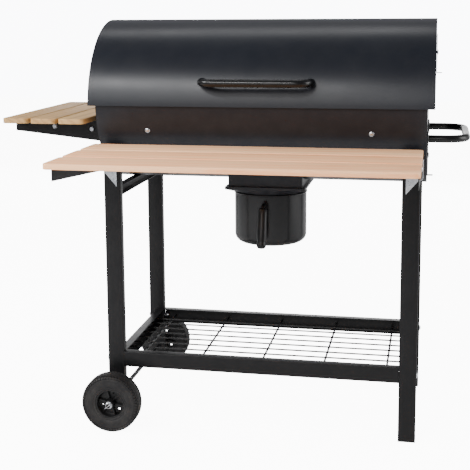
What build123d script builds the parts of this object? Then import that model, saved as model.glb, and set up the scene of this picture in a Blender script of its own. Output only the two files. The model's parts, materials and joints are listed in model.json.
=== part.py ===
from build123d import *

import os
from math import sqrt

# Barrel charcoal grill on a wheeled steel frame, with a front and a side wooden shelf.
# Millimetres, +Z up. The origin is on the ground, at the middle of the object's box.
# +X runs along the barrel towards the push handle, -Y is the cook's side.

# ---------------------------------------------------------------- driving dimensions
# barrel
lid_overhang = 16.5            # the lid past the bowl at each end
lid_gap = 5.0                  # from the bowl's skin in to the lid's
lid_top_z = 950.0
lid_rim_above_axis = 14.5
bowl_length = 744.0
bowl_radius = 200.5
bowl_rim_lap = 13.5            # how far the bowl's rim tucks up inside the lid
sheet = 1.5
end_lip = 12.0                 # folded rim of each end plate
# frame
frame_inset = 12.0             # the bowl's end past the legs
leg_inset = 12.5               # the bowl's belly past the legs' faces
leg_width = 39.3
leg_depth = 20.0
leg_wall = 1.5
leg_top_gap = 9.564            # under where the bowl would meet the legs' inner faces
leg_below_axle = 24.6
beam_height = 35.4
beam_flange = 20.0
beam_top_z = 173.7
upper_rail_height = 22.0
# wheels
wheel_radius = 68.6
wheel_width = 41.0
wheel_outset = 48.0            # from a leg's face to its tyre's middle
axle_radius = 5.0
axle_from_leg_middle = 2.8
# shelves of wooden boards
board_thickness = 12.0
front_board_overhang = 10.0    # past each leg
front_board_width = 102.0
front_board_gap = 7.0
front_board_count = 3
front_table_drop = 100.0       # under the bowl's axis
front_table_shift = -5.0
side_board_length = 444.0
side_board_width = 62.0
side_board_gap = 5.0
side_board_count = 3
side_table_drop = 43.0
side_table_to_lid = 6.0
# ash bucket
bucket_radius = 87.0
bucket_height = 125.0
bucket_corner = 20.0
bucket_wall = 1.2
bucket_rim_drop = 30.5         # under the bowl's lowest line
# handles
lid_handle_width = 260.0
lid_handle_radius = 9.0
lid_handle_reach = 46.0
lid_handle_rise = 70.0         # over the lid's axis
push_handle_radius = 8.5
push_handle_span = 256.0
push_handle_reach = 94.8
push_handle_drop = 85.0
# grates
grate_rod = 3.0                # radius of the cooking grate's frame
grate_wire = 2.0
grate_slack = 10.05            # from the bowl's wall to the grate, front and rear
grate_drop = 55.7
ledge_bolt_spacing = 506.0
charcoal_rod = 3.0
charcoal_drop = 143.0
# dampers
damper_radius = 42.0
damper_hole = 9.0
damper_hole_circle = 24.0
bowl_damper_drop = 139.0
lid_damper_rise = 129.0
# hinge
hinge_spacing = 420.0          # between the two hinges
hinge_width = 44.0
hinge_pin = 3.0
hinge_knuckle = 6.5
hinge_back = 11.5              # from the lid's rim out to the pin
hinge_drop = 5.5               # from the lid's rim down to the pin
# fasteners: shank radii
ledge_bolt = 3.0
saddle_bolt = 3.0
beam_bolt = 3.0
arm_bolt = 3.0
side_bolt = 3.0
lid_screw = 2.5
leaf_screw = 2.0
board_screw = 2.0
damper_rivet = 3.0
bolt_head = 2.1                # head radius over shank radius
# fits
running = 0.08                 # radial, shaft in a hole that turns on it
clear = 0.35                   # radial, a bolt in its hole
air = 0.3                      # between faces on different bodies

# small sheet and plastic details
ash_hole = 72.0
handle_sink = 12.0             # the handle's tube before it is cut to the lid's skin
push_flange = 3.0
tab = 2.0
leaf = 2.0
leaf_height = 34.0
bowl_leaf_drop = 47.0
lid_leaf_rise = 38.0
cap_sole = 3.0
cap_plug = 14.0
cap_slack = 0.2
ledge_reach = 20.0
ledge_web = 22.0
arm_lip = 20.0
arm_tip = 26.0
arm_root = 52.0
arm_setback = 19.0
arm_bolt_drop = 34.0           # under the front boards
stay_inset = 8.0
stay_short = 52.0
stay_long = 88.0
side_arm_y = 150.0
side_arm_tip = 24.0
side_arm_root = 46.0
side_arm_setback = 4.0
side_arm_gap = 6.0
damper_tab = 13.0
grate_wires = 17
grate_gap = 6.0
shelf_wire = 2.0
shelf_cross = 2.5
shelf_wire_count = 8
shelf_wire_edge = 54.3         # from a leg's outer face to the first long wire
shelf_cross_count = 5
shelf_cross_edge = 68.8        # from the frame's end to the first short wire
shelf_drop = 19.0              # under the beams' top
charcoal_rods = 13
charcoal_end = 22.0            # from the bowl's end to the charcoal grate
board_corner = 11.0
board_ease = 2.0
tyre_inner = 34.0
tread_blocks = 48
tread_groove = 3.0
tread_groove_depth = 4.0
rim_width = 34.0
rim_web = 5.0
rim_hole = 3.2
rim_hole_circle = 24.0
rim_holes = 3
hub_radius = 9.5
hub_length = 46.0
washer = 1.5
washer_lap = 3.0
nut_lap = 2.2
hub_nut = 4.5
hopper_width = 190.0
hopper_rim = 6.0
hopper_neck = 176.0
collar_height = 10.0
skirt_height = 12.0
grip_radius = 11.5
grip_length = 96.0
grip_gap = 27.0
grip_lean = 26.0
grip_neck_bend = 14.0
grip_drop = 20.0               # from the bucket's rim down to the grip's neck
hook_width = 22.0
hook_setback = 84.0            # from the front table's edge at the cook
hook_half_wire = 0.8
hook_reach = 5.5
hook_rise = 12.0
hook_bend = 4.0
saddle_drop = 12.0             # from the legs' tops to the saddles' middle
saddle_width = 24.0
saddle_block = 18.0
saddle_height = 20.0
saddle_bolt_grip = 12.0
handle_screw_seat = 4.2        # how far the screw heads' seats lie inside the lid's skin
front_bolt_inset = 64.0        # from the first side board's middle out to the front arm bolt
side_bolt_drop = 25.0
side_bolt_slope = 5.0
side_bolt_inset = 10.0
rim_wall = 4.0
rim_hole_turn = -12.0
lid_handle_bend = 34.0
push_handle_bend = 48.0
handle_foot = 10.0

# ---------------------------------------------------------------- worked-out places
lid_radius = bowl_radius + sheet + lid_gap
lid_length = bowl_length + 2 * lid_overhang
frame_width = bowl_length - 2 * frame_inset
frame_depth = 2 * (bowl_radius - leg_inset)
front_board_length = frame_width + 2 * front_board_overhang
wheel_track = frame_depth + 2 * wheel_outset                  # between the middles of the tyres
charcoal_length = bowl_length - 2 * charcoal_end
shelf_wire_pitch = (frame_depth - 2 * shelf_wire_edge) / (shelf_wire_count - 1)
shelf_cross_pitch = (frame_width - 2 * shelf_cross_edge) / (shelf_cross_count - 1)
front_table_depth = front_board_count * front_board_width + (front_board_count - 1) * front_board_gap
side_table_width = side_board_count * side_board_width + (side_board_count - 1) * side_board_gap
front_table_y = -frame_depth / 2 - 16.0                       # the table's edge at the bowl
left_reach = lid_length / 2 + side_table_to_lid + side_table_width
right_reach = bowl_length / 2 + push_handle_reach
front_reach = front_table_depth - front_table_y
axle_end = wheel_track / 2 + wheel_width / 2 + 12.0
mid_x = (left_reach - right_reach) / 2                        # the barrel's middle in X
mid_y = (front_reach - axle_end) / 2                          # the barrel's axis in Y

lid_axis_z = lid_top_z - lid_radius
lid_rim_z = lid_axis_z + lid_rim_above_axis
bowl_axis_z = lid_rim_z + bowl_rim_lap
bowl_bottom_z = bowl_axis_z - bowl_radius
bowl_inner = bowl_radius - sheet
lid_handle_z = lid_axis_z + lid_handle_rise
lid_damper_z = lid_axis_z + lid_damper_rise
bowl_damper_z = bowl_axis_z - bowl_damper_drop
push_handle_z = bowl_axis_z - push_handle_drop
grate_z = bowl_axis_z - grate_drop
grate_depth = 2 * (sqrt(bowl_inner**2 - grate_drop**2) - grate_slack)
charcoal_z = bowl_axis_z - charcoal_drop
front_table_top_z = bowl_axis_z - front_table_drop
side_table_top_z = bowl_axis_z - side_table_drop
bucket_rim_z = bowl_bottom_z - bucket_rim_drop
leg_meets_bowl_z = bowl_axis_z - sqrt(bowl_radius**2 - (frame_depth / 2 - leg_depth) ** 2)
leg_top_z = leg_meets_bowl_z - leg_top_gap
shelf_z = beam_top_z - shelf_drop
lid_rim_half = sqrt(lid_radius**2 - lid_rim_above_axis**2)
leg_x = frame_width / 2 - leg_width / 2
leg_y = frame_depth / 2 - leg_depth / 2
beam_bottom_z = beam_top_z - beam_height
beam_middle_z = beam_top_z - beam_height / 2
axle_x = -leg_x + axle_from_leg_middle
axle_z = wheel_radius
left_leg_foot_z = axle_z - leg_below_axle
hinge_y = lid_rim_half + hinge_back
hinge_z = lid_rim_z - hinge_drop
os.makedirs("parts", exist_ok=True)


# ---------------------------------------------------------------- planes and small makers
def level(z, x=0.0, y=0.0):
    """A horizontal plane, its normal up, placed from the barrel's middle."""
    return Plane(origin=(mid_x + x, mid_y + y, z), x_dir=(1, 0, 0), z_dir=(0, 0, 1))


def crosswise(x, z=0.0, y=0.0):
    """A plane across the barrel: its own x is +Y, its own y is +Z, its normal is +X."""
    return Plane(origin=(mid_x + x, mid_y + y, z), x_dir=(0, 1, 0), z_dir=(1, 0, 0))


def lengthwise(y, z=0.0, x=0.0):
    """A plane along the barrel: its own x is +X, its own y is +Z, its normal is -Y."""
    return Plane(origin=(mid_x + x, mid_y + y, z), x_dir=(1, 0, 0), z_dir=(0, -1, 0))


def bowl_normal(x, z, rear=False):
    """A plane on the bowl's outer skin at a height, its normal pointing out."""
    drop = bowl_axis_z - z
    side = 1.0 if rear else -1.0
    out = (0, side * sqrt(bowl_radius**2 - drop**2) / bowl_radius, -drop / bowl_radius)
    origin = (mid_x + x, mid_y + out[1] * bowl_radius, z)
    return Plane(origin=origin, x_dir=(1, 0, 0), z_dir=out)


upper_rail_bottom_z = bowl_bottom_z - upper_rail_height
saddle_z = leg_top_z - saddle_drop
arm_bolt_z = front_table_top_z - board_thickness - arm_bolt_drop
arm_bolt_planes = [
    Plane(
        origin=(mid_x + side * (frame_width / 2 + sheet), mid_y - leg_y, arm_bolt_z),
        x_dir=(0, 1, 0),
        z_dir=(side, 0, 0),
    )
    for side in (-1, 1)
]
board_end_x = -lid_length / 2 - side_table_to_lid - 4.0
ledge_z = grate_z - grate_rod - air
ledge_bolt_planes = [
    bowl_normal(side * ledge_bolt_spacing / 2, ledge_z - ledge_web / 2, rear)
    for side in (-1, 1)
    for rear in (False, True)
]
saddle_bolt_planes = [
    bowl_normal(side * leg_x, saddle_z + 4, rear) for side in (-1, 1) for rear in (False, True)
]
bowl_leaf_z = bowl_axis_z - bowl_leaf_drop
bowl_leaf_planes = [
    bowl_normal(side * hinge_spacing / 2 + edge * hinge_width * 0.36, bowl_leaf_z, True)
    for side in (-1, 1)
    for edge in (-1, 1)
]
saddle_bolt_inside_planes = [
    Plane(origin=plane.origin - plane.z_dir * (sheet + 0.4), x_dir=(1, 0, 0), z_dir=-plane.z_dir)
    for plane in saddle_bolt_planes
]


def lid_normal(x, z, rear):
    """A plane on the lid's outer skin at a height, its normal pointing out."""
    rise = z - lid_axis_z
    side = 1.0 if rear else -1.0
    out = (0, side * sqrt(lid_radius**2 - rise**2) / lid_radius, rise / lid_radius)
    origin = (mid_x + x, mid_y + out[1] * lid_radius, z)
    return Plane(origin=origin, x_dir=(1, 0, 0), z_dir=out)


lid_leaf_planes = [
    lid_normal(side * hinge_spacing / 2, hinge_z + lid_leaf_rise + edge * leaf_height * 0.3, True)
    for side in (-1, 1)
    for edge in (-1, 1)
]
handle_arm_x = lid_handle_width / 2 - lid_handle_radius
lid_skin_y = -sqrt(lid_radius**2 - (lid_handle_z - lid_axis_z) ** 2)
lid_screw_planes = [lengthwise(lid_skin_y, lid_handle_z, side * handle_arm_x) for side in (-1, 1)]
front_screw_x = frame_width / 2 - arm_lip / 2
front_screw_planes = [
    level(front_table_top_z - board_thickness, side * front_screw_x, front_table_y - across)
    for side in (-1, 1)
    for number in range(front_board_count)
    for across in (
        number * (front_board_width + front_board_gap) + front_board_width * 0.25,
        number * (front_board_width + front_board_gap) + front_board_width * 0.72,
    )
]
side_board_first_x = -lid_length / 2 - side_table_to_lid - side_board_width / 2
side_bolt_z = side_table_top_z - side_bolt_drop
side_arm_bolts = [
    (side_board_first_x - front_bolt_inset, side_bolt_z),
    (-lid_length / 2 - side_bolt_inset, side_bolt_z - side_bolt_slope),
]
side_screw_planes = [
    level(
        side_table_top_z - board_thickness,
        side_board_first_x - number * (side_board_width + side_board_gap),
        hand * (side_arm_y - arm_lip / 2),
    )
    for number in range(side_board_count)
    for hand in (-1, 1)
]


def drill(planes, radius, depth):
    """Round holes through the open part, centred on each plane."""
    for plane in planes:
        with BuildSketch(plane) as hole:
            Circle(radius)
        extrude(hole.sketch, amount=depth, both=True, mode=Mode.SUBTRACT)


def finish(builder, label):
    """Name the piece and write it."""
    builder.part.label = label
    export_step(builder.part, f"parts/{label}.step")


def bolts(planes, shank, grip, nut_at=None):
    """Round-headed bolts for the open part, each with a nut below its plane where nut_at says."""
    for plane in planes:
        with BuildSketch(plane) as head:
            Circle(bolt_head * shank)
        extrude(head.sketch, amount=0.55 * bolt_head * shank, taper=28)
        with BuildSketch(plane) as stem:
            Circle(shank)
        extrude(stem.sketch, amount=-grip)
        if nut_at is not None:
            with BuildSketch(plane.offset(-nut_at)) as nut:
                RegularPolygon(1.9 * shank, 6)
            extrude(nut.sketch, amount=-1.6 * shank)


def half_shell(label, length, radius, axis_z, cut_z, dome):
    """Rolled sheet: the dome keeps what lies above cut_z, the trough what lies below."""
    side = -1.0 if dome else 1.0
    with BuildPart() as shell:
        with BuildSketch(crosswise(-length / 2, axis_z)):
            Circle(radius)
            Circle(radius - sheet, mode=Mode.SUBTRACT)
            with Locations((0, cut_z - axis_z + side * radius)):
                Rectangle(3 * radius, 2 * radius, mode=Mode.SUBTRACT)
        extrude(amount=length)
        if dome:
            drill(lid_screw_planes, lid_screw + clear, 3 * sheet)
            drill(lid_leaf_planes, leaf_screw + clear, 3 * sheet)
        else:
            with BuildSketch(level(bowl_bottom_z - sheet)):
                Circle(ash_hole)
            extrude(amount=4 * end_lip, mode=Mode.SUBTRACT)
            drill(ledge_bolt_planes, ledge_bolt + clear, 3 * sheet)
            drill(saddle_bolt_planes, saddle_bolt + clear, 3 * sheet)
            drill(bowl_leaf_planes, leaf_screw + clear, 3 * sheet)
    finish(shell, label)


def end_plate(label, length, radius, axis_z, cut_z, dome, hand, damper_z=None, extras=()):
    """A flat end inside a shell with a rim folded inwards; hand is +1 right, -1 left."""
    side = -1.0 if dome else 1.0
    outer = radius - sheet
    face = hand * length / 2
    with BuildPart() as plate:
        with BuildSketch(crosswise(face - (sheet if hand > 0 else 0.0), axis_z)):
            Circle(outer)
            with Locations((0, cut_z - axis_z + side * radius)):
                Rectangle(3 * radius, 2 * radius, mode=Mode.SUBTRACT)
        extrude(amount=sheet)
        with BuildSketch(crosswise(face - (end_lip if hand > 0 else 0.0), axis_z)):
            Circle(outer)
            Circle(outer - sheet, mode=Mode.SUBTRACT)
            with Locations((0, cut_z - axis_z + side * radius)):
                Rectangle(3 * radius, 2 * radius, mode=Mode.SUBTRACT)
        extrude(amount=end_lip)
        if damper_z is not None:
            with BuildSketch(crosswise(face, damper_z)):
                Circle(damper_rivet + clear)
                with PolarLocations(damper_hole_circle, 4):
                    Circle(damper_hole)
            extrude(amount=3 * sheet, both=True, mode=Mode.SUBTRACT)
        for planes, hole in extras:
            drill(planes, hole, 3 * sheet)
    finish(plate, label)


def leg(label, hand_x, hand_y, foot_z):
    """A rectangular tube, drilled for its beam bolt and, at the wheel end, for the axle."""
    x = hand_x * leg_x
    y = hand_y * leg_y
    with BuildPart() as tube:
        with BuildSketch(level(foot_z, x, y)):
            Rectangle(leg_width, leg_depth)
            Rectangle(leg_width - 2 * leg_wall, leg_depth - 2 * leg_wall, mode=Mode.SUBTRACT)
        extrude(amount=leg_top_z - foot_z)
        drill([crosswise(x, beam_middle_z, y)], beam_bolt + clear, leg_width)
        drill([crosswise(x, arm_bolt_z, y)], arm_bolt + clear, leg_width)
        if hand_x < 0:
            drill([lengthwise(y, axle_z, axle_x)], axle_radius, leg_depth)
    finish(tube, label)


def foot_cap(foot_z, x, y):
    """A plug with a flat sole under a leg's tube, added to the open part."""
    plug = 2 * leg_wall + 2 * cap_slack
    with BuildSketch(level(foot_z - cap_sole, x, y)) as sole:
        RectangleRounded(leg_width, leg_depth, 1.5)
    extrude(sole.sketch, amount=cap_sole)
    with BuildSketch(level(foot_z, x, y)) as stem:
        Rectangle(leg_width - plug, leg_depth - plug)
    extrude(stem.sketch, amount=cap_plug)


def side_rail(label, hand, bottom_z, height):
    """A channel between a front and a rear leg, its web outside and its lips facing in."""
    inner_x = hand * (frame_width / 2 - leg_width)
    web_x = inner_x + hand * beam_flange
    length = frame_depth - 2 * leg_depth
    with BuildPart() as rail:
        with BuildSketch(level(bottom_z, (inner_x + web_x) / 2)):
            Rectangle(beam_flange, length)
        extrude(amount=height)
        with BuildSketch(level(bottom_z + sheet, (inner_x + web_x) / 2 - hand * sheet)):
            Rectangle(beam_flange, length)
        extrude(amount=height - 2 * sheet, mode=Mode.SUBTRACT)
    finish(rail, label)


def shelf_beam(label, hand):
    """A channel between a left and a right leg, closed at its ends by bolted tabs."""
    length = frame_width - 2 * leg_width
    y = hand * leg_y
    with BuildPart() as beam:
        with BuildSketch(level(beam_bottom_z, 0, y)):
            Rectangle(length, leg_depth)
        extrude(amount=beam_height)
        with BuildSketch(level(beam_bottom_z + sheet, 0, y - hand * sheet)):
            Rectangle(length - 2 * tab, leg_depth)
        extrude(amount=beam_height - 2 * sheet, mode=Mode.SUBTRACT)
        ends = [crosswise(side * length / 2, beam_middle_z, y) for side in (-1, 1)]
        drill(ends, beam_bolt + clear, 2 * tab)
    finish(beam, label)


def wheel(side_name, hand):
    """A tyre and its rim, both turned about the axle and set at one end of it."""
    centre = lengthwise(hand * wheel_track / 2, axle_z, axle_x)
    turn = Axis(centre.origin, centre.z_dir)
    inner = tyre_inner
    with BuildPart() as tyre:
        with BuildSketch(Plane(origin=centre.origin, x_dir=(0, 1, 0), z_dir=(1, 0, 0))):
            with BuildLine():
                half = wheel_width / 2
                Polyline((-half + 3, inner), (half - 3, inner), (half, inner + 5))
                Line((half, inner + 5), (half, wheel_radius - 11))
                Line((half, wheel_radius - 11), (half - 7, wheel_radius - 1.5))
                ThreePointArc(
                    (half - 7, wheel_radius - 1.5), (0, wheel_radius), (7 - half, wheel_radius - 1.5)
                )
                Line((7 - half, wheel_radius - 1.5), (-half, wheel_radius - 11))
                Line((-half, wheel_radius - 11), (-half, inner + 5))
                Line((-half, inner + 5), (-half + 3, inner))
            make_face()
        revolve(axis=turn)
        for shoulder in (-1, 1):
            edge = centre.offset(shoulder * (wheel_width / 2 - 5))
            with BuildSketch(edge):
                with PolarLocations(wheel_radius, tread_blocks):
                    Rectangle(tread_groove_depth, tread_groove)
            extrude(amount=shoulder * 8, mode=Mode.SUBTRACT)
    finish(tyre, f"tyre_{side_name}")
    with BuildPart() as rim:
        with BuildSketch(centre.offset(-rim_width / 2)):
            Circle(inner)
        extrude(amount=rim_width)
        for face in (-1, 1):
            with BuildSketch(centre.offset(face * (rim_web / 2))):
                Circle(inner - rim_wall)
                Circle(hub_radius, mode=Mode.SUBTRACT)
            extrude(amount=face * rim_width, mode=Mode.SUBTRACT)
        with BuildSketch(centre):
            with PolarLocations(rim_hole_circle, rim_holes, start_angle=rim_hole_turn):
                Circle(rim_hole)
        extrude(amount=rim_web, both=True, mode=Mode.SUBTRACT)
        with BuildSketch(centre.offset(-hub_length / 2)):
            Circle(hub_radius)
        extrude(amount=hub_length)
        with BuildSketch(centre.offset(-hub_length)):
            Circle(axle_radius + running)
        extrude(amount=2 * hub_length, mode=Mode.SUBTRACT)
    finish(rim, f"wheel_rim_{side_name}")


def boards(prefix, centres, size_x, size_y, top_z, screws):
    """Wooden boards with eased edges, one centred on each place, drilled for their screws."""
    for number, (x, y) in enumerate(centres, start=1):
        with BuildPart() as board:
            with BuildSketch(level(top_z - board_thickness, x, y)):
                RectangleRounded(size_x, size_y, board_corner)
            extrude(amount=board_thickness)
            fillet(board.faces().sort_by(Axis.Z)[-1].edges(), board_ease)
            own = [
                p
                for p in screws
                if abs(p.origin.X - mid_x - x) < size_x / 2 and abs(p.origin.Y - mid_y - y) < size_y / 2
            ]
            drill(own, board_screw, 9 - sheet)
        finish(board, f"{prefix}_{number}")


def front_arm(label, hand):
    """A bent sheet arm on the outside of a front leg: a tapered web and a lip under the boards."""
    web_x = hand * frame_width / 2
    lip = web_x - hand * arm_lip
    under = front_table_top_z - board_thickness
    tip_y = front_table_y - front_table_depth + arm_setback
    back_y = -frame_depth / 2 + leg_depth
    with BuildPart() as arm:
        with BuildSketch(crosswise(web_x)):
            with BuildLine():
                Polyline(
                    (tip_y, under),
                    (front_table_y, under),
                    (back_y, leg_top_z - 4),
                    (back_y, under - arm_root),
                    (-frame_depth / 2, under - arm_root),
                    (tip_y, under - arm_tip),
                    close=True,
                )
            make_face()
        extrude(amount=hand * sheet)
        with BuildSketch(level(under - sheet, (web_x + lip) / 2, (tip_y + front_table_y) / 2)):
            Rectangle(arm_lip, front_table_y - tip_y)
        extrude(amount=sheet)
        drill([crosswise(web_x, arm_bolt_z, -leg_y)], arm_bolt + clear, 3 * sheet)
        drill(front_screw_planes, board_screw + clear, 3 * sheet)
    finish(arm, label)


def stay(hand):
    """A tapered gusset on a front leg's face that stiffens the arm above it."""
    inner_x = hand * (frame_width / 2 - leg_width + stay_inset)
    outer_x = hand * frame_width / 2
    top = front_table_top_z - board_thickness - sheet
    with BuildSketch(lengthwise(-frame_depth / 2)) as gusset:
        with BuildLine():
            Polyline(
                (inner_x, top),
                (outer_x, top),
                (outer_x, top - stay_short),
                (inner_x, top - stay_long),
                close=True,
            )
        make_face()
    extrude(gusset.sketch, amount=sheet)


def side_arm(label, hand):
    """A tapered sheet arm under the side boards, with a lip that they are screwed to."""
    y = hand * side_arm_y
    under = side_table_top_z - board_thickness
    outer_x = -lid_length / 2 - side_table_to_lid - side_table_width + side_arm_setback
    inner_x = -bowl_length / 2 - side_arm_gap
    with BuildPart() as arm:
        with BuildSketch(lengthwise(y)):
            with BuildLine():
                Polyline(
                    (outer_x, under),
                    (inner_x, under),
                    (inner_x, under - side_arm_root),
                    (outer_x, under - side_arm_tip),
                    close=True,
                )
            make_face()
        extrude(amount=hand * sheet)
        with BuildSketch(level(under - sheet, (outer_x + board_end_x) / 2, y - hand * arm_lip / 2)):
            Rectangle(board_end_x - outer_x, arm_lip)
        extrude(amount=sheet)
        drill([lengthwise(y, z, x) for x, z in side_arm_bolts], side_bolt + clear, 3 * sheet)
        drill(side_screw_planes, board_screw + clear, 3 * sheet)
    finish(arm, label)


def side_bracket(hand):
    """The plate on the bowl's end that a side arm bolts to, for the open part."""
    y = hand * (side_arm_y - sheet)
    under = side_table_top_z - board_thickness
    tip_x = side_arm_bolts[0][0] - 16
    with BuildSketch(lengthwise(y)) as web:
        with BuildLine():
            Polyline(
                (tip_x, under - 4),
                (-bowl_length / 2, under - 4),
                (-bowl_length / 2, under - side_arm_root + 2),
                (tip_x, under - side_arm_tip - 3),
                close=True,
            )
        make_face()
    extrude(web.sketch, amount=hand * sheet)
    with BuildSketch(crosswise(-bowl_length / 2, under - 24, y - hand * 9)) as foot:
        Rectangle(18, 34)
    extrude(foot.sketch, amount=-sheet)
    drill([lengthwise(y, z, x) for x, z in side_arm_bolts], side_bolt + clear, 3 * sheet)
    drill([bracket_plane(hand)], side_bolt + clear, 3 * sheet)


def bracket_plane(hand):
    """The plane of the bolt that holds a side bracket to the bowl's left end."""
    y = hand * side_arm_y - hand * (sheet + 9)
    under = side_table_top_z - board_thickness
    return Plane(
        origin=(mid_x - bowl_length / 2 - sheet, mid_y + y, under - 24), x_dir=(0, 1, 0), z_dir=(-1, 0, 0)
    )


def cooking_grate(label, hand):
    """A rod frame with wires across it, from the front ledge to the rear one."""
    width = bowl_length / 2 - end_lip - grate_gap
    centre = hand * (width / 2 + grate_gap / 2)
    with BuildPart() as grate:
        for y in (-1, 1):
            with BuildSketch(crosswise(centre - width / 2, grate_z, y * (grate_depth / 2 - grate_rod))):
                Circle(grate_rod)
            extrude(amount=width)
        for x in (-1, 1):
            rod_x = centre + x * (width / 2 - grate_rod)
            with BuildSketch(lengthwise(grate_depth / 2 - grate_rod, grate_z, rod_x)):
                Circle(grate_rod)
            extrude(amount=grate_depth - 2 * grate_rod)
        with BuildSketch(lengthwise(grate_depth / 2 - grate_rod, grate_z + 0.6, centre)):
            with GridLocations(width / (grate_wires + 1), 1, grate_wires, 1):
                Circle(grate_wire)
        extrude(amount=grate_depth - 2 * grate_rod)
    finish(grate, label)


def damper(label, face_x, z):
    """A disc that turns over the holes in an end plate, with a bent finger tab."""
    with BuildPart() as disc:
        with BuildSketch(crosswise(face_x + air, z)):
            Circle(damper_radius)
            with Locations((0, -damper_radius)):
                Rectangle(14, 12)
            Circle(damper_rivet + running, mode=Mode.SUBTRACT)
            with PolarLocations(damper_hole_circle, 4):
                Circle(damper_hole, mode=Mode.SUBTRACT)
        extrude(amount=sheet)
        with BuildSketch(level(z - damper_radius - 6, face_x + air + damper_tab / 2)):
            Rectangle(damper_tab, 14)
        extrude(amount=sheet)
    finish(disc, label)


def damper_rivet_set(label, face_x, z):
    """The shouldered rivet that a damper turns on."""
    with BuildPart() as rivet:
        with BuildSketch(crosswise(face_x - 2 * sheet, z)):
            Circle(damper_rivet)
        extrude(amount=3 * sheet + 2 * air)
        with BuildSketch(crosswise(face_x + sheet + 2 * air, z)):
            Circle(2 * damper_rivet)
        extrude(amount=2.0, taper=20)
        with BuildSketch(crosswise(face_x - sheet, z)):
            Circle(2 * damper_rivet)
        extrude(amount=-1.6)
    finish(rivet, label)


def bowl_leaf_solid(x):
    """One hinge leaf on the bowl: a curved plate, and an arm up to the middle knuckle."""
    third = hinge_width / 3
    with BuildSketch(crosswise(x - third / 2 + air / 2)) as arm:
        with BuildLine():
            Polyline(
                (bowl_radius * 0.88, bowl_axis_z - bowl_leaf_drop - leaf_height / 2),
                (bowl_radius * 0.95 + 5, bowl_axis_z - bowl_leaf_drop - leaf_height / 2),
                (hinge_y + hinge_knuckle, hinge_z - 8),
                (hinge_y + hinge_knuckle, hinge_z),
                (hinge_y - hinge_knuckle, hinge_z),
                (bowl_radius - 6, hinge_z - 12),
                close=True,
            )
        make_face()
        with Locations((hinge_y, hinge_z)):
            Circle(hinge_knuckle)
        with Locations((0, bowl_axis_z)):
            Circle(bowl_radius, mode=Mode.SUBTRACT)
        with Locations((hinge_y, hinge_z)):
            Circle(hinge_pin, mode=Mode.SUBTRACT)
    extrude(arm.sketch, amount=third - air)
    with BuildSketch(crosswise(x - hinge_width / 2)) as plate:
        with Locations((0, bowl_axis_z)):
            Circle(bowl_radius + leaf)
            Circle(bowl_radius, mode=Mode.SUBTRACT)
        with Locations((bowl_radius, bowl_axis_z - bowl_leaf_drop)):
            Rectangle(60, leaf_height, mode=Mode.INTERSECT)
    extrude(plate.sketch, amount=hinge_width)


def lid_leaf_solid(x):
    """One hinge leaf on the lid: a curved plate with two arms down to the outer knuckles."""
    third = hinge_width / 3
    for offset in (-hinge_width / 2, hinge_width / 2 - third + air / 2):
        with BuildSketch(crosswise(x + offset)) as arm:
            with BuildLine():
                Polyline(
                    (hinge_y - 4, hinge_z),
                    (hinge_y + hinge_knuckle, hinge_z),
                    (hinge_y + 2, hinge_z + 18),
                    (lid_radius - 6, hinge_z + 46),
                    (lid_radius - 20, hinge_z + 20),
                    close=True,
                )
            make_face()
            with Locations((hinge_y, hinge_z)):
                Circle(hinge_knuckle)
            with Locations((0, lid_axis_z)):
                Circle(lid_radius, mode=Mode.SUBTRACT)
            with Locations((hinge_y, hinge_z)):
                Circle(hinge_pin + running, mode=Mode.SUBTRACT)
        extrude(arm.sketch, amount=third - air / 2)
    with BuildSketch(crosswise(x - hinge_width / 2, lid_axis_z)) as plate:
        Circle(lid_radius + leaf)
        Circle(lid_radius, mode=Mode.SUBTRACT)
        with Locations((lid_radius, hinge_z + lid_leaf_rise - lid_axis_z)):
            Rectangle(60, leaf_height, mode=Mode.INTERSECT)
    extrude(plate.sketch, amount=hinge_width)


def hinge_pin_solid(x):
    """One hinge pin with a head at each end."""
    with BuildSketch(crosswise(x - hinge_width / 2 - 2, hinge_z, hinge_y)) as stem:
        Circle(hinge_pin)
    extrude(stem.sketch, amount=hinge_width + 4)
    for start in (-hinge_width / 2 - 4, hinge_width / 2 + air):
        with BuildSketch(crosswise(x + start, hinge_z, hinge_y)) as head:
            Circle(hinge_pin + 1.6)
        extrude(head.sketch, amount=4 - air)


# ---------------------------------------------------------------- lid
half_shell("lid_shell", lid_length, lid_radius, lid_axis_z, lid_rim_z, dome=True)
end_plate("lid_end_left", lid_length, lid_radius, lid_axis_z, lid_rim_z, True, -1)
end_plate("lid_end_right", lid_length, lid_radius, lid_axis_z, lid_rim_z, True, 1, lid_damper_z)
damper("lid_damper", lid_length / 2, lid_damper_z)
damper_rivet_set("lid_damper_rivet", lid_length / 2, lid_damper_z)
handle_y = lid_skin_y - lid_handle_reach
with BuildPart() as lid_handle:
    with BuildLine() as handle_route:
        FilletPolyline(
            (mid_x - handle_arm_x, mid_y + lid_skin_y + handle_sink, lid_handle_z),
            (mid_x - handle_arm_x, mid_y + handle_y, lid_handle_z),
            (mid_x + handle_arm_x, mid_y + handle_y, lid_handle_z),
            (mid_x + handle_arm_x, mid_y + lid_skin_y + handle_sink, lid_handle_z),
            radius=lid_handle_bend,
        )
    with BuildSketch(Plane(origin=handle_route.line @ 0, z_dir=handle_route.line % 0)):
        Circle(lid_handle_radius)
        Circle(lid_handle_radius - sheet, mode=Mode.SUBTRACT)
    sweep()
    for plane in lid_screw_planes:
        with BuildSketch(plane):
            Circle(lid_handle_radius - sheet / 2)
            Circle(lid_screw, mode=Mode.SUBTRACT)
        extrude(amount=handle_foot, both=True)
    with BuildSketch(crosswise(-lid_length, lid_axis_z)):
        Circle(lid_radius)
    extrude(amount=2 * lid_length, mode=Mode.SUBTRACT)
finish(lid_handle, "lid_handle")

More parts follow.
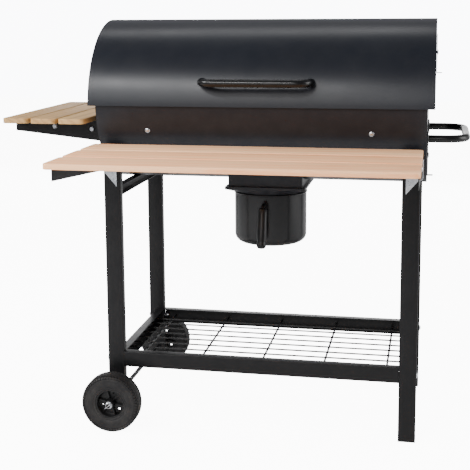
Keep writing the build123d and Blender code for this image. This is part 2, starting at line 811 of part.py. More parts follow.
with BuildPart() as lid_screws:
    for plane in lid_screw_planes:
        seat = plane.origin + Vector(0, handle_screw_seat, 0)
        bolts([Plane(origin=seat, x_dir=(-1, 0, 0), z_dir=(0, 1, 0))], lid_screw, 12)
    outside = [plane.offset(leaf) for plane in lid_leaf_planes]
    bolts(outside, leaf_screw, leaf + sheet + 4, leaf + sheet + clear)
finish(lid_screws, "lid_screws")

# ---------------------------------------------------------------- bowl
half_shell("bowl_shell", bowl_length, bowl_radius, bowl_axis_z, bowl_axis_z, dome=False)
push_arm_planes = [
    crosswise(bowl_length / 2, push_handle_z, side * push_handle_span / 2) for side in (-1, 1)
]
push_bolt_planes = [
    Plane(origin=plane.origin - Vector(sheet, 0, 0), x_dir=(0, 1, 0), z_dir=(-1, 0, 0))
    for plane in push_arm_planes
]
end_plate(
    "bowl_end_left",
    bowl_length,
    bowl_radius,
    bowl_axis_z,
    bowl_axis_z,
    False,
    -1,
    extras=[([bracket_plane(-1), bracket_plane(1)], side_bolt + clear)],
)
end_plate(
    "bowl_end_right",
    bowl_length,
    bowl_radius,
    bowl_axis_z,
    bowl_axis_z,
    False,
    1,
    bowl_damper_z,
    extras=[(push_arm_planes, ledge_bolt + clear)],
)
damper("bowl_damper", bowl_length / 2, bowl_damper_z)
damper_rivet_set("bowl_damper_rivet", bowl_length / 2, bowl_damper_z)
push_x = mid_x + bowl_length / 2
push_outer_x = push_x + push_handle_reach - push_handle_radius
with BuildPart() as push_handle:
    for plane in push_arm_planes:
        with BuildSketch(plane):
            Circle(2 * push_handle_radius)
        extrude(amount=push_flange)
    with BuildLine() as push_route:
        FilletPolyline(
            (push_x + push_flange, mid_y - push_handle_span / 2, push_handle_z),
            (push_outer_x, mid_y - push_handle_span / 2, push_handle_z),
            (push_outer_x, mid_y + push_handle_span / 2, push_handle_z),
            (push_x + push_flange, mid_y + push_handle_span / 2, push_handle_z),
            radius=push_handle_bend,
        )
    with BuildSketch(Plane(origin=push_route.line @ 0, z_dir=push_route.line % 0)):
        Circle(push_handle_radius)
        Circle(push_handle_radius - sheet, mode=Mode.SUBTRACT)
    sweep()
    drill(push_bolt_planes, ledge_bolt, 3 * push_flange)
finish(push_handle, "push_handle")

for name, rear in (("front", False), ("rear", True)):
    side = 1.0 if rear else -1.0
    wall_y = side * sqrt(bowl_inner**2 - (bowl_axis_z - ledge_z) ** 2)
    with BuildPart() as ledge:
        with BuildSketch(crosswise(-bowl_length / 2 + 2 * end_lip, bowl_axis_z)):
            Circle(bowl_inner)
            Circle(bowl_inner - sheet, mode=Mode.SUBTRACT)
            with Locations((wall_y, ledge_z - bowl_axis_z - ledge_web / 2)):
                Rectangle(60, ledge_web, mode=Mode.INTERSECT)
            with Locations((wall_y - side * (ledge_reach / 2 + 1), ledge_z - bowl_axis_z - sheet / 2)):
                Rectangle(ledge_reach, sheet)
        extrude(amount=bowl_length - 4 * end_lip)
        own = [plane for plane in ledge_bolt_planes if (plane.origin.Y - mid_y) * side > 0]
        drill(own, ledge_bolt + clear, 3 * sheet)
    finish(ledge, f"grate_ledge_{name}")
with BuildPart() as bowl_bolts:
    bolts(ledge_bolt_planes, ledge_bolt, 12, 2 * sheet + clear)
    bolts(saddle_bolt_inside_planes, saddle_bolt, saddle_bolt_grip)
    bolts([bracket_plane(-1), bracket_plane(1)], side_bolt, 10, 2 * sheet)
    bolts(push_bolt_planes, ledge_bolt, 12)
    outside = [plane.offset(leaf) for plane in bowl_leaf_planes]
    bolts(outside, leaf_screw, leaf + sheet + 4, leaf + sheet + clear)
finish(bowl_bolts, "bowl_bolts")
cooking_grate("cooking_grate_left", -1)
cooking_grate("cooking_grate_right", 1)

outer_rod_y = sqrt((bowl_inner - charcoal_rod - 2 * air) ** 2 - (bowl_axis_z - charcoal_z) ** 2)
with BuildPart() as charcoal_grate:
    with BuildSketch(crosswise(-charcoal_length / 2, charcoal_z)):
        with GridLocations(2 * outer_rod_y / (charcoal_rods - 1), 1, charcoal_rods, 1):
            Circle(charcoal_rod)
    extrude(amount=charcoal_length)
    for x in (-0.4, 0.0, 0.4):
        with BuildSketch(lengthwise(outer_rod_y, charcoal_z - 1, x * charcoal_length)):
            Circle(charcoal_rod)
        extrude(amount=2 * outer_rod_y)
finish(charcoal_grate, "charcoal_grate")

# ---------------------------------------------------------------- ash hopper and bucket
skirt_z = bucket_rim_z + 1.5
hopper_bottom_z = skirt_z + skirt_height
collar_radius = bucket_radius - bucket_wall - 1.0
with BuildPart() as hopper:
    with BuildSketch(level(hopper_bottom_z)):
        RectangleRounded(hopper_neck, hopper_neck, 6)
    extrude(amount=60)
    with BuildSketch(level(hopper_bottom_z)):
        RectangleRounded(hopper_width, hopper_width, 4)
    extrude(amount=hopper_rim)
    with BuildSketch(level(hopper_bottom_z)):
        RectangleRounded(hopper_width, hopper_width, 4)
    with BuildSketch(level(skirt_z)):
        Circle(bucket_radius)
    loft()
    with BuildSketch(level(skirt_z)):
        Circle(collar_radius)
    extrude(amount=-collar_height)
    with BuildSketch(level(skirt_z - collar_height)):
        Circle(collar_radius - sheet)
    extrude(amount=100, mode=Mode.SUBTRACT)
    with BuildSketch(crosswise(-hopper_width, bowl_axis_z)):
        Circle(bowl_radius)
    extrude(amount=2 * hopper_width, mode=Mode.SUBTRACT)
finish(hopper, "ash_hopper")

bucket_turn = Axis((mid_x, mid_y, 0), (0, 0, 1))
with BuildPart() as bucket:
    with BuildSketch(lengthwise(0)):
        with BuildLine():
            bottom = bucket_rim_z - bucket_height
            wall = bucket_wall
            Line((0, bottom), (bucket_radius - bucket_corner, bottom))
            flat = bucket_radius - bucket_corner
            RadiusArc((flat, bottom), (bucket_radius, bottom + bucket_corner), -bucket_corner)
            Line((bucket_radius, bottom + bucket_corner), (bucket_radius, bucket_rim_z - 4))
            Line((bucket_radius, bucket_rim_z - 4), (bucket_radius + 2, bucket_rim_z - 3))
            Line((bucket_radius + 2, bucket_rim_z - 3), (bucket_radius + 2, bucket_rim_z - 1))
            Line((bucket_radius + 2, bucket_rim_z - 1), (bucket_radius, bucket_rim_z))
            Line((bucket_radius, bucket_rim_z), (bucket_radius - wall, bucket_rim_z))
            Line((bucket_radius - wall, bucket_rim_z), (bucket_radius - wall, bottom + bucket_corner))
            RadiusArc(
                (bucket_radius - wall, bottom + bucket_corner),
                (bucket_radius - bucket_corner, bottom + wall),
                bucket_corner - wall,
            )
            Line((bucket_radius - bucket_corner, bottom + wall), (0, bottom + wall))
            Line((0, bottom + wall), (0, bottom))
        make_face()
    revolve(axis=bucket_turn)
finish(bucket, "ash_bucket")

grip_top = (mid_x, mid_y - bucket_radius - grip_gap, bucket_rim_z - grip_drop)
grip_down = Vector(0, -grip_lean, -grip_length)
grip_start = Vector(*grip_top) + grip_down * 0.04
with BuildPart() as grip:
    with BuildLine() as neck_line:
        FilletPolyline(
            (mid_x, mid_y - bucket_radius + 6, bucket_rim_z - grip_drop),
            grip_top,
            Vector(*grip_top) + grip_down * 0.4,
            radius=grip_neck_bend,
        )
    with BuildSketch(Plane(origin=neck_line.line @ 0, z_dir=neck_line.line % 0)):
        Circle(0.5 * grip_radius)
    sweep()
    with BuildSketch(Plane(origin=grip_start, x_dir=(1, 0, 0), z_dir=grip_down)):
        Circle(grip_radius)
    extrude(amount=grip_length)
    round_edges = grip.edges().filter_by(GeomType.CIRCLE)
    ends = round_edges.filter_by(lambda edge: abs(edge.radius - grip_radius) < 0.01)
    fillet(ends, 0.4 * grip_radius)
    with BuildSketch(level(bucket_rim_z - bucket_height)):
        Circle(bucket_radius)
    extrude(amount=bucket_height, mode=Mode.SUBTRACT)
finish(grip, "bucket_handle")

# ---------------------------------------------------------------- frame
for name_x, hand_x, foot in (("left", -1, left_leg_foot_z), ("right", 1, cap_sole)):
    for name_y, hand_y in (("front", -1), ("rear", 1)):
        leg(f"leg_{name_y}_{name_x}", hand_x, hand_y, foot)
    side_rail(f"upper_rail_{name_x}", hand_x, upper_rail_bottom_z, upper_rail_height)
    side_rail(f"lower_rail_{name_x}", hand_x, beam_bottom_z, beam_height)
shelf_beam("shelf_beam_front", -1)
shelf_beam("shelf_beam_rear", 1)
with BuildPart() as caps:
    for hand_x, foot in ((-1, left_leg_foot_z), (1, cap_sole)):
        for hand_y in (-1, 1):
            foot_cap(foot, hand_x * leg_x, hand_y * leg_y)
finish(caps, "leg_caps")

rail_web_x = frame_width / 2 - leg_width + beam_flange - sheet
with BuildPart() as shelf:
    with BuildSketch(crosswise(-rail_web_x + 0.5, shelf_z + shelf_wire)):
        with GridLocations(shelf_wire_pitch, 1, shelf_wire_count, 1):
            Circle(shelf_wire)
    extrude(amount=2 * rail_web_x - 1)
    with BuildSketch(lengthwise(frame_depth / 2 - sheet, shelf_z - shelf_cross + 1)):
        with GridLocations(shelf_cross_pitch, 1, shelf_cross_count, 1):
            Circle(shelf_cross)
    extrude(amount=frame_depth - 2 * sheet)
finish(shelf, "wire_shelf")

beam_bolt_planes = []
for hand_x in (-1, 1):
    for hand_y in (-1, 1):
        beam_bolt_planes.append(
            Plane(
                origin=(mid_x + hand_x * frame_width / 2, mid_y + hand_y * leg_y, beam_middle_z),
                x_dir=(0, 1, 0),
                z_dir=(hand_x, 0, 0),
            )
        )
with BuildPart() as frame_bolts:
    bolts(beam_bolt_planes, beam_bolt, leg_width + tab + 7, leg_width + tab)
    bolts(arm_bolt_planes, arm_bolt, leg_width + sheet + 7, leg_width + sheet)
finish(frame_bolts, "frame_bolts")
with BuildPart() as table_screws:
    for plane in front_screw_planes + side_screw_planes:
        seat = plane.origin - Vector(0, 0, sheet)
        bolts([Plane(origin=seat, x_dir=(1, 0, 0), z_dir=(0, 0, -1))], board_screw, 9)
    for hand in (-1, 1):
        heads = [lengthwise(hand * side_arm_y, z, x) for x, z in side_arm_bolts]
        if hand > 0:
            heads = [Plane(origin=p.origin, x_dir=(-1, 0, 0), z_dir=(0, 1, 0)) for p in heads]
        bolts(heads, side_bolt, 9, 2 * sheet)
finish(table_screws, "table_screws")

with BuildPart() as saddles:
    for hand_x in (-1, 1):
        for hand_y in (-1, 1):
            with BuildSketch(crosswise(hand_x * leg_x - saddle_width / 2)):
                with Locations((hand_y * (frame_depth / 2 - leg_depth - saddle_block / 2), saddle_z)):
                    Rectangle(saddle_block, saddle_height)
                with Locations((0, bowl_axis_z)):
                    Circle(bowl_radius, mode=Mode.SUBTRACT)
            extrude(amount=saddle_width)
    drill(saddle_bolt_planes, saddle_bolt, 2 * saddle_bolt_grip)
finish(saddles, "bowl_saddles")

# ---------------------------------------------------------------- axle and wheels
with BuildPart() as axle:
    with BuildSketch(lengthwise(axle_end, axle_z, axle_x)):
        Circle(axle_radius)
    extrude(amount=2 * axle_end)
    chamfer(axle.faces().filter_by(Axis.Y).edges(), 1.2)
finish(axle, "axle")
wheel("front", -1)
wheel("rear", 1)
hub_inner_y = wheel_track / 2 - hub_length / 2
hub_outer_y = wheel_track / 2 + hub_length / 2
with BuildPart() as spacers:
    for hand in (-1, 1):
        start = frame_depth / 2
        with BuildSketch(lengthwise(hand * start, axle_z, axle_x)):
            Circle(axle_radius + 3)
            Circle(axle_radius, mode=Mode.SUBTRACT)
        extrude(amount=-hand * (hub_inner_y - air - start))
finish(spacers, "axle_spacers")
with BuildPart() as hub_nuts:
    for hand in (-1, 1):
        with BuildSketch(lengthwise(hand * (hub_outer_y + air), axle_z, axle_x)):
            Circle(axle_radius + washer_lap)
            Circle(axle_radius, mode=Mode.SUBTRACT)
        extrude(amount=-hand * washer)
        with BuildSketch(lengthwise(hand * (hub_outer_y + air + washer), axle_z, axle_x)):
            RegularPolygon(axle_radius + nut_lap, 6)
            Circle(axle_radius, mode=Mode.SUBTRACT)
        extrude(amount=-hand * hub_nut)
finish(hub_nuts, "hub_nuts")

# ---------------------------------------------------------------- hinges
hinge_places = (-hinge_spacing / 2, hinge_spacing / 2)
with BuildPart() as bowl_leaves:
    for x in hinge_places:
        bowl_leaf_solid(x)
    drill(bowl_leaf_planes, leaf_screw + clear, 3 * leaf)
finish(bowl_leaves, "hinge_leaves_bowl")
with BuildPart() as lid_leaves:
    for x in hinge_places:
        lid_leaf_solid(x)
    drill(lid_leaf_planes, leaf_screw + clear, 3 * leaf)
finish(lid_leaves, "hinge_leaves_lid")
with BuildPart() as hinge_pins:
    for x in hinge_places:
        hinge_pin_solid(x)
finish(hinge_pins, "hinge_pins")

# ---------------------------------------------------------------- wooden shelves
front_pitch = front_board_width + front_board_gap
front_centres = [
    (front_table_shift, front_table_y - front_board_width / 2 - number * front_pitch)
    for number in range(front_board_count)
]
boards(
    "front_board",
    front_centres,
    front_board_length,
    front_board_width,
    front_table_top_z,
    front_screw_planes,
)
side_pitch = side_board_width + side_board_gap
side_centres = [(side_board_first_x - number * side_pitch, 0.0) for number in range(side_board_count)]
boards(
    "side_board",
    side_centres,
    side_board_width,
    side_board_length,
    side_table_top_z,
    side_screw_planes,
)
front_arm("front_arm_left", -1)
front_arm("front_arm_right", 1)
with BuildPart() as stays:
    stay(-1)
    stay(1)
finish(stays, "arm_stays")
side_arm("side_arm_front", -1)
side_arm("side_arm_rear", 1)
with BuildPart() as brackets:
    side_bracket(-1)
    side_bracket(1)
finish(brackets, "side_brackets")

# ---------------------------------------------------------------- tool hook
hook_x = frame_width / 2 + sheet + 1.0
hook_y = front_table_y - front_table_depth + hook_setback
hook_foot_z = front_table_top_z - board_thickness - hook_rise
with BuildPart() as hook:
    with BuildSketch(lengthwise(hook_y)):
        with BuildLine():
            hook_line = FilletPolyline(
                (hook_x, hook_foot_z),
                (hook_x + hook_reach, hook_foot_z),
                (hook_x + hook_reach, front_table_top_z + hook_rise),
                radius=hook_bend,
            )
            offset(hook_line, amount=hook_half_wire, side=Side.BOTH)
        make_face()
    extrude(amount=hook_width)
finish(hook, "tool_hook")
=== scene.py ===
"""The looks of a barrel charcoal grill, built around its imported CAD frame.

Lengths are metres. The origin is on the ground under the middle of the object's box, +X runs
along the barrel towards the push handle and -Y is the cook's side.
"""

import json
import logging
import math
from dataclasses import dataclass, field
from enum import Enum
from typing import Iterable, Optional, Sequence, Union

import bmesh
import bpy
from mathutils import Matrix, Vector


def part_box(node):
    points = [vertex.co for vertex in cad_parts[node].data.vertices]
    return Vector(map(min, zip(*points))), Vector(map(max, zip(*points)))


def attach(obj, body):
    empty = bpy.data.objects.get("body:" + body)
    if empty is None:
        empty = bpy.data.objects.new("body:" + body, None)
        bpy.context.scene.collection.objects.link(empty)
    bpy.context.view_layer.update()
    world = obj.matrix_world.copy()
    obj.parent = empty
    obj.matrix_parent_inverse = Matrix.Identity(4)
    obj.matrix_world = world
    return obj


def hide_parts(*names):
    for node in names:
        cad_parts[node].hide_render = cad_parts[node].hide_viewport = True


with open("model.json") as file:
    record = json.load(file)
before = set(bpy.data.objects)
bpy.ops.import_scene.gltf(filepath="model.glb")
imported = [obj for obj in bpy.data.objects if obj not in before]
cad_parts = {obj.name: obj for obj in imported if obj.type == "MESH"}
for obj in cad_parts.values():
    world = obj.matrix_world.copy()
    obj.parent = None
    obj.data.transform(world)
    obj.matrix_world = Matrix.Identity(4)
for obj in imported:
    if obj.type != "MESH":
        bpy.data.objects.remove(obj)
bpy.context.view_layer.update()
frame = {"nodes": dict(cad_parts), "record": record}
log = logging.getLogger("barrel_grill")

MM = 0.001
UP = Vector((0.0, 0.0, 1.0))
DOWN = -UP
RIGHT = Vector((1.0, 0.0, 0.0))
LEFT = -RIGHT
REAR = Vector((0.0, 1.0, 0.0))
FRONT = -REAR
FULL_TURN = 2.0 * math.pi
QUARTER_TURN = 0.5 * math.pi
ROLL_STEPS = 96
THREAD_TAIL = 4.0 * MM
LEGS = ("leg_front_left", "leg_front_right", "leg_rear_left", "leg_rear_right")
Colour = tuple[float, float, float, float]
NodeInput = Union[bpy.types.NodeSocket, float, Sequence[float]]
Rim = list[bmesh.types.BMEdge]
Profile = Sequence[tuple[float, float]]


class Body(Enum):
    """The moving bodies of the grill."""

    FRAME = "frame"
    LID = "lid"
    GRATE_LEFT = "cooking_grate_left"
    GRATE_RIGHT = "cooking_grate_right"
    CHARCOAL_GRATE = "charcoal_grate"
    BUCKET = "ash_bucket"
    WHEEL_FRONT = "wheel_front"
    WHEEL_REAR = "wheel_rear"


class Slot(Enum):
    """The material slots of the record."""

    LID_PAINT = "lid_paint"
    BOWL_PAINT = "bowl_paint"
    FRAME_PAINT = "frame_paint"
    HANDLE_GLOSS = "handle_gloss"
    FRONT_WOOD = "front_wood"
    SIDE_WOOD = "side_wood"
    ZINC = "zinc"
    BUCKET_PAINT = "bucket_paint"
    GRIP_PLASTIC = "grip_plastic"
    GRATE_CHROME = "grate_chrome"
    CHARCOAL_IRON = "charcoal_iron"
    SHELF_WIRE = "shelf_wire"
    TYRE = "tyre"
    RIM_PLASTIC = "rim_plastic"


class Grain(Enum):
    """The way a board's grain runs, as the turn that lays it along X."""

    ALONG_X = 0.0
    ALONG_Y = QUARTER_TURN


def srgb(red: int, green: int, blue: int) -> Colour:
    """Turns a display colour of 0 to 255 into the linear one that shaders take.

    Args:
        red: The red level.
        green: The green level.
        blue: The blue level.

    Returns:
        The linear colour with full alpha.
    """
    levels = (level / 255.0 for level in (red, green, blue))
    linear = [v / 12.92 if v <= 0.04045 else ((v + 0.055) / 1.055) ** 2.4 for v in levels]
    return (linear[0], linear[1], linear[2], 1.0)


# ------------------------------------------------------------------ node trees
class Net:
    """A node tree with short ways to add and join its nodes."""

    def __init__(self, tree: bpy.types.NodeTree) -> None:
        """Keeps the tree that the nodes go into."""
        self.tree = tree

    def add(
        self,
        kind: str,
        sockets: Optional[dict[Union[str, int], NodeInput]] = None,
        **settings: object,
    ) -> bpy.types.Node:
        """Adds a node, and links or sets its inputs.

        Args:
            kind: The node's type.
            sockets: For each input, a value or the output that feeds it.
            **settings: The node's own properties.

        Returns:
            The new node.
        """
        node = self.tree.nodes.new(kind)
        for name, value in settings.items():
            setattr(node, name, value)
        for key, value in (sockets or {}).items():
            if isinstance(value, bpy.types.NodeSocket):
                self.tree.links.new(value, node.inputs[key])
            else:
                node.inputs[key].default_value = value
        return node

    def calc(self, kind: str, first: NodeInput, second: NodeInput = 0.0) -> bpy.types.NodeSocket:
        """Adds one sum of two values and gives its result."""
        return self.add("ShaderNodeMath", {0: first, 1: second}, operation=kind).outputs[0]

    def times(self, first: NodeInput, second: NodeInput) -> bpy.types.NodeSocket:
        """Multiplies two values and gives the result."""
        return self.calc("MULTIPLY", first, second)

    def noise(self, place: NodeInput, scale: NodeInput, detail: float) -> bpy.types.NodeSocket:
        """Adds a noise texture and gives its value."""
        sockets = {"Vector": place, "Scale": scale, "Detail": detail}
        return self.add("ShaderNodeTexNoise", sockets).outputs[0]

    def effect(self, tree: bpy.types.NodeTree, sockets: dict[str, NodeInput]) -> bpy.types.Node:
        """Places a shared effect with its own values and gives its node."""
        return self.add("ShaderNodeGroup", sockets, node_tree=tree)

    def feed(self, target: bpy.types.Node, sources: dict[str, bpy.types.NodeSocket]) -> None:
        """Links sources to the named inputs of a node."""
        for name, source in sources.items():
            self.tree.links.new(source, target.inputs[name])

    def blend(self, factor: NodeInput, first: NodeInput, second: NodeInput) -> bpy.types.NodeSocket:
        """Mixes two colours by a factor and gives the result."""
        mix = self.add("ShaderNodeMix", {0: factor, 6: first, 7: second}, data_type="RGBA")
        return mix.outputs[2]

    def spread(self, value: NodeInput, low: NodeInput, high: NodeInput) -> bpy.types.NodeSocket:
        """Maps the middle part of a noise's range on to low..high and gives the result."""
        limits = {"Value": value, "From Min": 0.3, "From Max": 0.7, "To Min": low, "To Max": high}
        return self.add("ShaderNodeMapRange", limits).outputs[0]

    def own_place(self) -> bpy.types.NodeSocket:
        """Gives the point's place in the object."""
        return self.add("ShaderNodeTexCoord").outputs["Object"]

    def stretched(self, place: NodeInput, scale: Sequence[float]) -> bpy.types.NodeSocket:
        """Multiplies a place by a scale for each axis and gives the result."""
        return self.add("ShaderNodeMapping", {"Vector": place, "Scale": scale}).outputs[0]


class Effects:
    """The surface effects that several finishes share, each one a node group."""

    def __init__(self) -> None:
        """Builds every group once."""
        self.mottle = self._mottle()
        self.skin = self._skin()
        self.dust = self._dust()
        self.grain = self._grain()

    @staticmethod
    def _group(
        name: str, inputs: dict[str, float], outputs: Sequence[str], with_place: bool = False
    ) -> tuple[bpy.types.NodeTree, Net, bpy.types.Node, bpy.types.Node]:
        """Starts a node group.

        Args:
            name: The group's name.
            inputs: Each number input and its usual value.
            outputs: The names of the values it puts out.
            with_place: Whether it also takes a Place vector.

        Returns:
            The tree, its net, and its input and output nodes.
        """
        tree = bpy.data.node_groups.new(name, "ShaderNodeTree")
        if with_place:
            tree.interface.new_socket("Place", in_out="INPUT", socket_type="NodeSocketVector")
        for label, value in inputs.items():
            socket = tree.interface.new_socket(label, in_out="INPUT", socket_type="NodeSocketFloat")
            socket.default_value = value
        for label in outputs:
            tree.interface.new_socket(label, in_out="OUTPUT", socket_type="NodeSocketFloat")
        net = Net(tree)
        return tree, net, net.add("NodeGroupInput"), net.add("NodeGroupOutput")

    def _mottle(self) -> bpy.types.NodeTree:
        """Makes the cloudy unevenness of a coat, between a low and a high value."""
        values = {"Scale": 12.0, "Low": 0.3, "High": 0.5}
        tree, net, given, put = self._group("mottle", values, ["Value"])
        cloud = net.noise(net.own_place(), given.outputs["Scale"], 5.0)
        value = net.spread(cloud, given.outputs["Low"], given.outputs["High"])
        net.feed(put, {"Value": value})
        return tree

    def _skin(self) -> bpy.types.NodeTree:
        """Makes the fine pebbling of a sprayed or moulded skin, with a slow wave under it."""
        tree, net, given, put = self._group("skin", {"Scale": 700.0, "Wave": 0.0}, ["Height"])
        place = net.own_place()
        pebble = net.noise(place, given.outputs["Scale"], 2.0)
        wave = net.times(net.noise(place, 5.0, 1.0), given.outputs["Wave"])
        net.feed(put, {"Height": net.calc("ADD", pebble, wave)})
        return tree

    def _dust(self) -> bpy.types.NodeTree:
        """Makes a mask of settled specks, 0 where clean and up to Amount where dusty."""
        tree, net, given, put = self._group("dust", {"Scale": 30.0, "Amount": 0.2}, ["Mask"])
        place = net.own_place()
        patch = net.spread(net.noise(place, given.outputs["Scale"], 6.0), 0.0, 1.0)
        speck = net.spread(net.noise(place, 900.0, 2.0), 0.0, 1.0)
        net.feed(put, {"Mask": net.times(net.times(patch, speck), given.outputs["Amount"])})
        return tree

    def _grain(self) -> bpy.types.NodeTree:
        """Makes plain-sawn grain along X: growth rings, fibres and pores, each 0 to 1."""
        values = {"Board": 0.0, "Rings": 70.0, "Warp": 5.0}
        results = ["Ring", "Fibre", "Pore", "Tone"]
        tree, net, given, put = self._group("grain", values, results, with_place=True)
        place, board = given.outputs["Place"], given.outputs["Board"]
        steps = {0: net.times(board, 3.7), 2: net.times(board, 1.3)}
        shift = net.add("ShaderNodeCombineXYZ", steps).outputs[0]
        moved = net.add("ShaderNodeVectorMath", {0: place, 1: shift}, operation="ADD").outputs[0]
        slow = net.noise(net.stretched(moved, (1.6, 11.0, 11.0)), 1.0, 3.0)
        axes = net.add("ShaderNodeSeparateXYZ", {0: moved})
        across = net.calc("ADD", axes.outputs[1], net.times(axes.outputs[2], 1.4))
        drift = net.times(slow, given.outputs["Warp"])
        bands = net.calc("ADD", net.times(across, given.outputs["Rings"]), drift)
        wave = net.calc("SINE", net.times(bands, FULL_TURN))
        ring = net.calc("MULTIPLY_ADD", wave, 0.5)
        ring.node.inputs[2].default_value = 0.5
        fibre = net.noise(net.stretched(moved, (9.0, 330.0, 330.0)), 1.0, 4.0)
        pore = net.noise(net.stretched(moved, (45.0, 1500.0, 1500.0)), 1.0, 2.0)
        limits = {"Value": pore, "From Min": 0.58, "From Max": 0.7}
        dashes = net.add("ShaderNodeMapRange", limits).outputs[0]
        tone = net.add("ShaderNodeTexWhiteNoise", {"W": board}, noise_dimensions="1D").outputs[0]
        fibres = net.spread(fibre, 0.0, 1.0)
        rings = net.calc("POWER", ring, 2.2)
        net.feed(put, {"Ring": rings, "Fibre": fibres, "Pore": dashes, "Tone": tone})
        return tree


# ------------------------------------------------------------------ finishes
def new_material(slot: Slot) -> tuple[bpy.types.Material, Net, bpy.types.Node]:
    """Starts a material for a slot.

    Args:
        slot: The slot that it is for.

    Returns:
        The material, its net and its Principled shader.
    """
    material = bpy.data.materials.new(slot.value)
    material.use_nodes = True
    shader = material.node_tree.nodes["Principled BSDF"]
    return material, Net(material.node_tree), shader


@dataclass(frozen=True)
class CoatFinish:
    """A sprayed, dipped or moulded skin over metal, plastic or rubber."""

    colour: Colour
    cloud: Colour
    smooth: float
    rough: float
    pebble_scale: float = 700.0
    pebble_depth: float = 0.02 * MM
    wave: float = 0.0
    cloud_scale: float = 9.0
    specular: float = 0.5
    dust: float = 0.0
    dust_colour: Colour = srgb(150, 145, 138)

    def make(self, slot: Slot, effects: Effects) -> bpy.types.Material:
        """Builds the material.

        Args:
            slot: The record's slot that it is for.
            effects: The shared surface effects.

        Returns:
            The finished material.
        """
        material, net, shader = new_material(slot)
        limits = {"Scale": self.cloud_scale, "Low": 0.0, "High": 1.0}
        cloud = net.effect(effects.mottle, limits).outputs["Value"]
        shade = net.blend(cloud, self.colour, self.cloud)
        if self.dust > 0.0:
            mask = net.effect(effects.dust, {"Amount": self.dust}).outputs["Mask"]
            shade = net.blend(mask, shade, self.dust_colour)
        limits = {"Scale": 3.0 * self.cloud_scale, "Low": self.smooth, "High": self.rough}
        gloss = net.effect(effects.mottle, limits).outputs["Value"]
        pebbles = {"Scale": self.pebble_scale, "Wave": self.wave}
        height = net.effect(effects.skin, pebbles).outputs["Height"]
        bump = net.add("ShaderNodeBump", {"Height": height, "Distance": self.pebble_depth})
        shader.inputs["Specular IOR Level"].default_value = self.specular
        normal = bump.outputs["Normal"]
        net.feed(shader, {"Base Color": shade, "Roughness": gloss, "Normal": normal})
        return material


@dataclass(frozen=True)
class MetalFinish:
    """Bare or plated metal."""

    colour: Colour
    tarnish: Colour
    smooth: float
    rough: float
    cloud_scale: float = 60.0

    def make(self, slot: Slot, effects: Effects) -> bpy.types.Material:
        """Builds the material.

        Args:
            slot: The record's slot that it is for.
            effects: The shared surface effects.

        Returns:
            The finished material.
        """
        material, net, shader = new_material(slot)
        shader.inputs["Metallic"].default_value = 1.0
        limits = {"Scale": self.cloud_scale, "Low": 0.0, "High": 1.0}
        cloud = net.effect(effects.mottle, limits).outputs["Value"]
        limits = {"Scale": 4.0 * self.cloud_scale, "Low": self.smooth, "High": self.rough}
        gloss = net.effect(effects.mottle, limits).outputs["Value"]
        shade = net.blend(cloud, self.colour, self.tarnish)
        net.feed(shader, {"Base Color": shade, "Roughness": gloss})
        return material


@dataclass(frozen=True)
class WoodFinish:
    """Oiled softwood boards; each board's own look comes from its board attribute."""

    pale: Colour
    deep: Colour
    tint: Colour
    grain: Grain
    rings: float = 70.0
    warp: float = 5.0
    ring_share: float = 0.5
    rough: float = 0.5
    fibre_share: float = 0.45
    tone_share: float = 0.25
    pore_share: float = 0.5
    relief: float = 0.05 * MM

    def make(self, slot: Slot, effects: Effects) -> bpy.types.Material:
        """Builds the material.

        Args:
            slot: The record's slot that it is for.
            effects: The shared surface effects.

        Returns:
            The finished material.
        """
        material, net, shader = new_material(slot)
        turned = {"Vector": net.own_place(), "Rotation": (0.0, 0.0, self.grain.value)}
        place = net.add("ShaderNodeMapping", turned).outputs[0]
        board = net.add("ShaderNodeAttribute", attribute_name="board").outputs["Fac"]
        sockets = {"Place": place, "Board": board, "Rings": self.rings, "Warp": self.warp}
        grain = net.effect(effects.grain, sockets).outputs
        fibre, pore = grain["Fibre"], grain["Pore"]
        shade = net.blend(net.times(grain["Ring"], self.ring_share), self.pale, self.deep)
        shade = net.blend(net.times(fibre, self.fibre_share), shade, self.tint)
        shade = net.blend(net.times(grain["Tone"], self.tone_share), shade, self.deep)
        shade = net.blend(net.times(pore, self.pore_share), shade, self.deep)
        relief = {"Height": net.calc("SUBTRACT", fibre, pore), "Distance": self.relief}
        normal = net.add("ShaderNodeBump", relief).outputs["Normal"]
        limits = {"Value": fibre, "To Min": self.rough - 0.08, "To Max": self.rough + 0.1}
        gloss = net.add("ShaderNodeMapRange", limits).outputs[0]
        net.feed(shader, {"Base Color": shade, "Roughness": gloss, "Normal": normal})
        return material


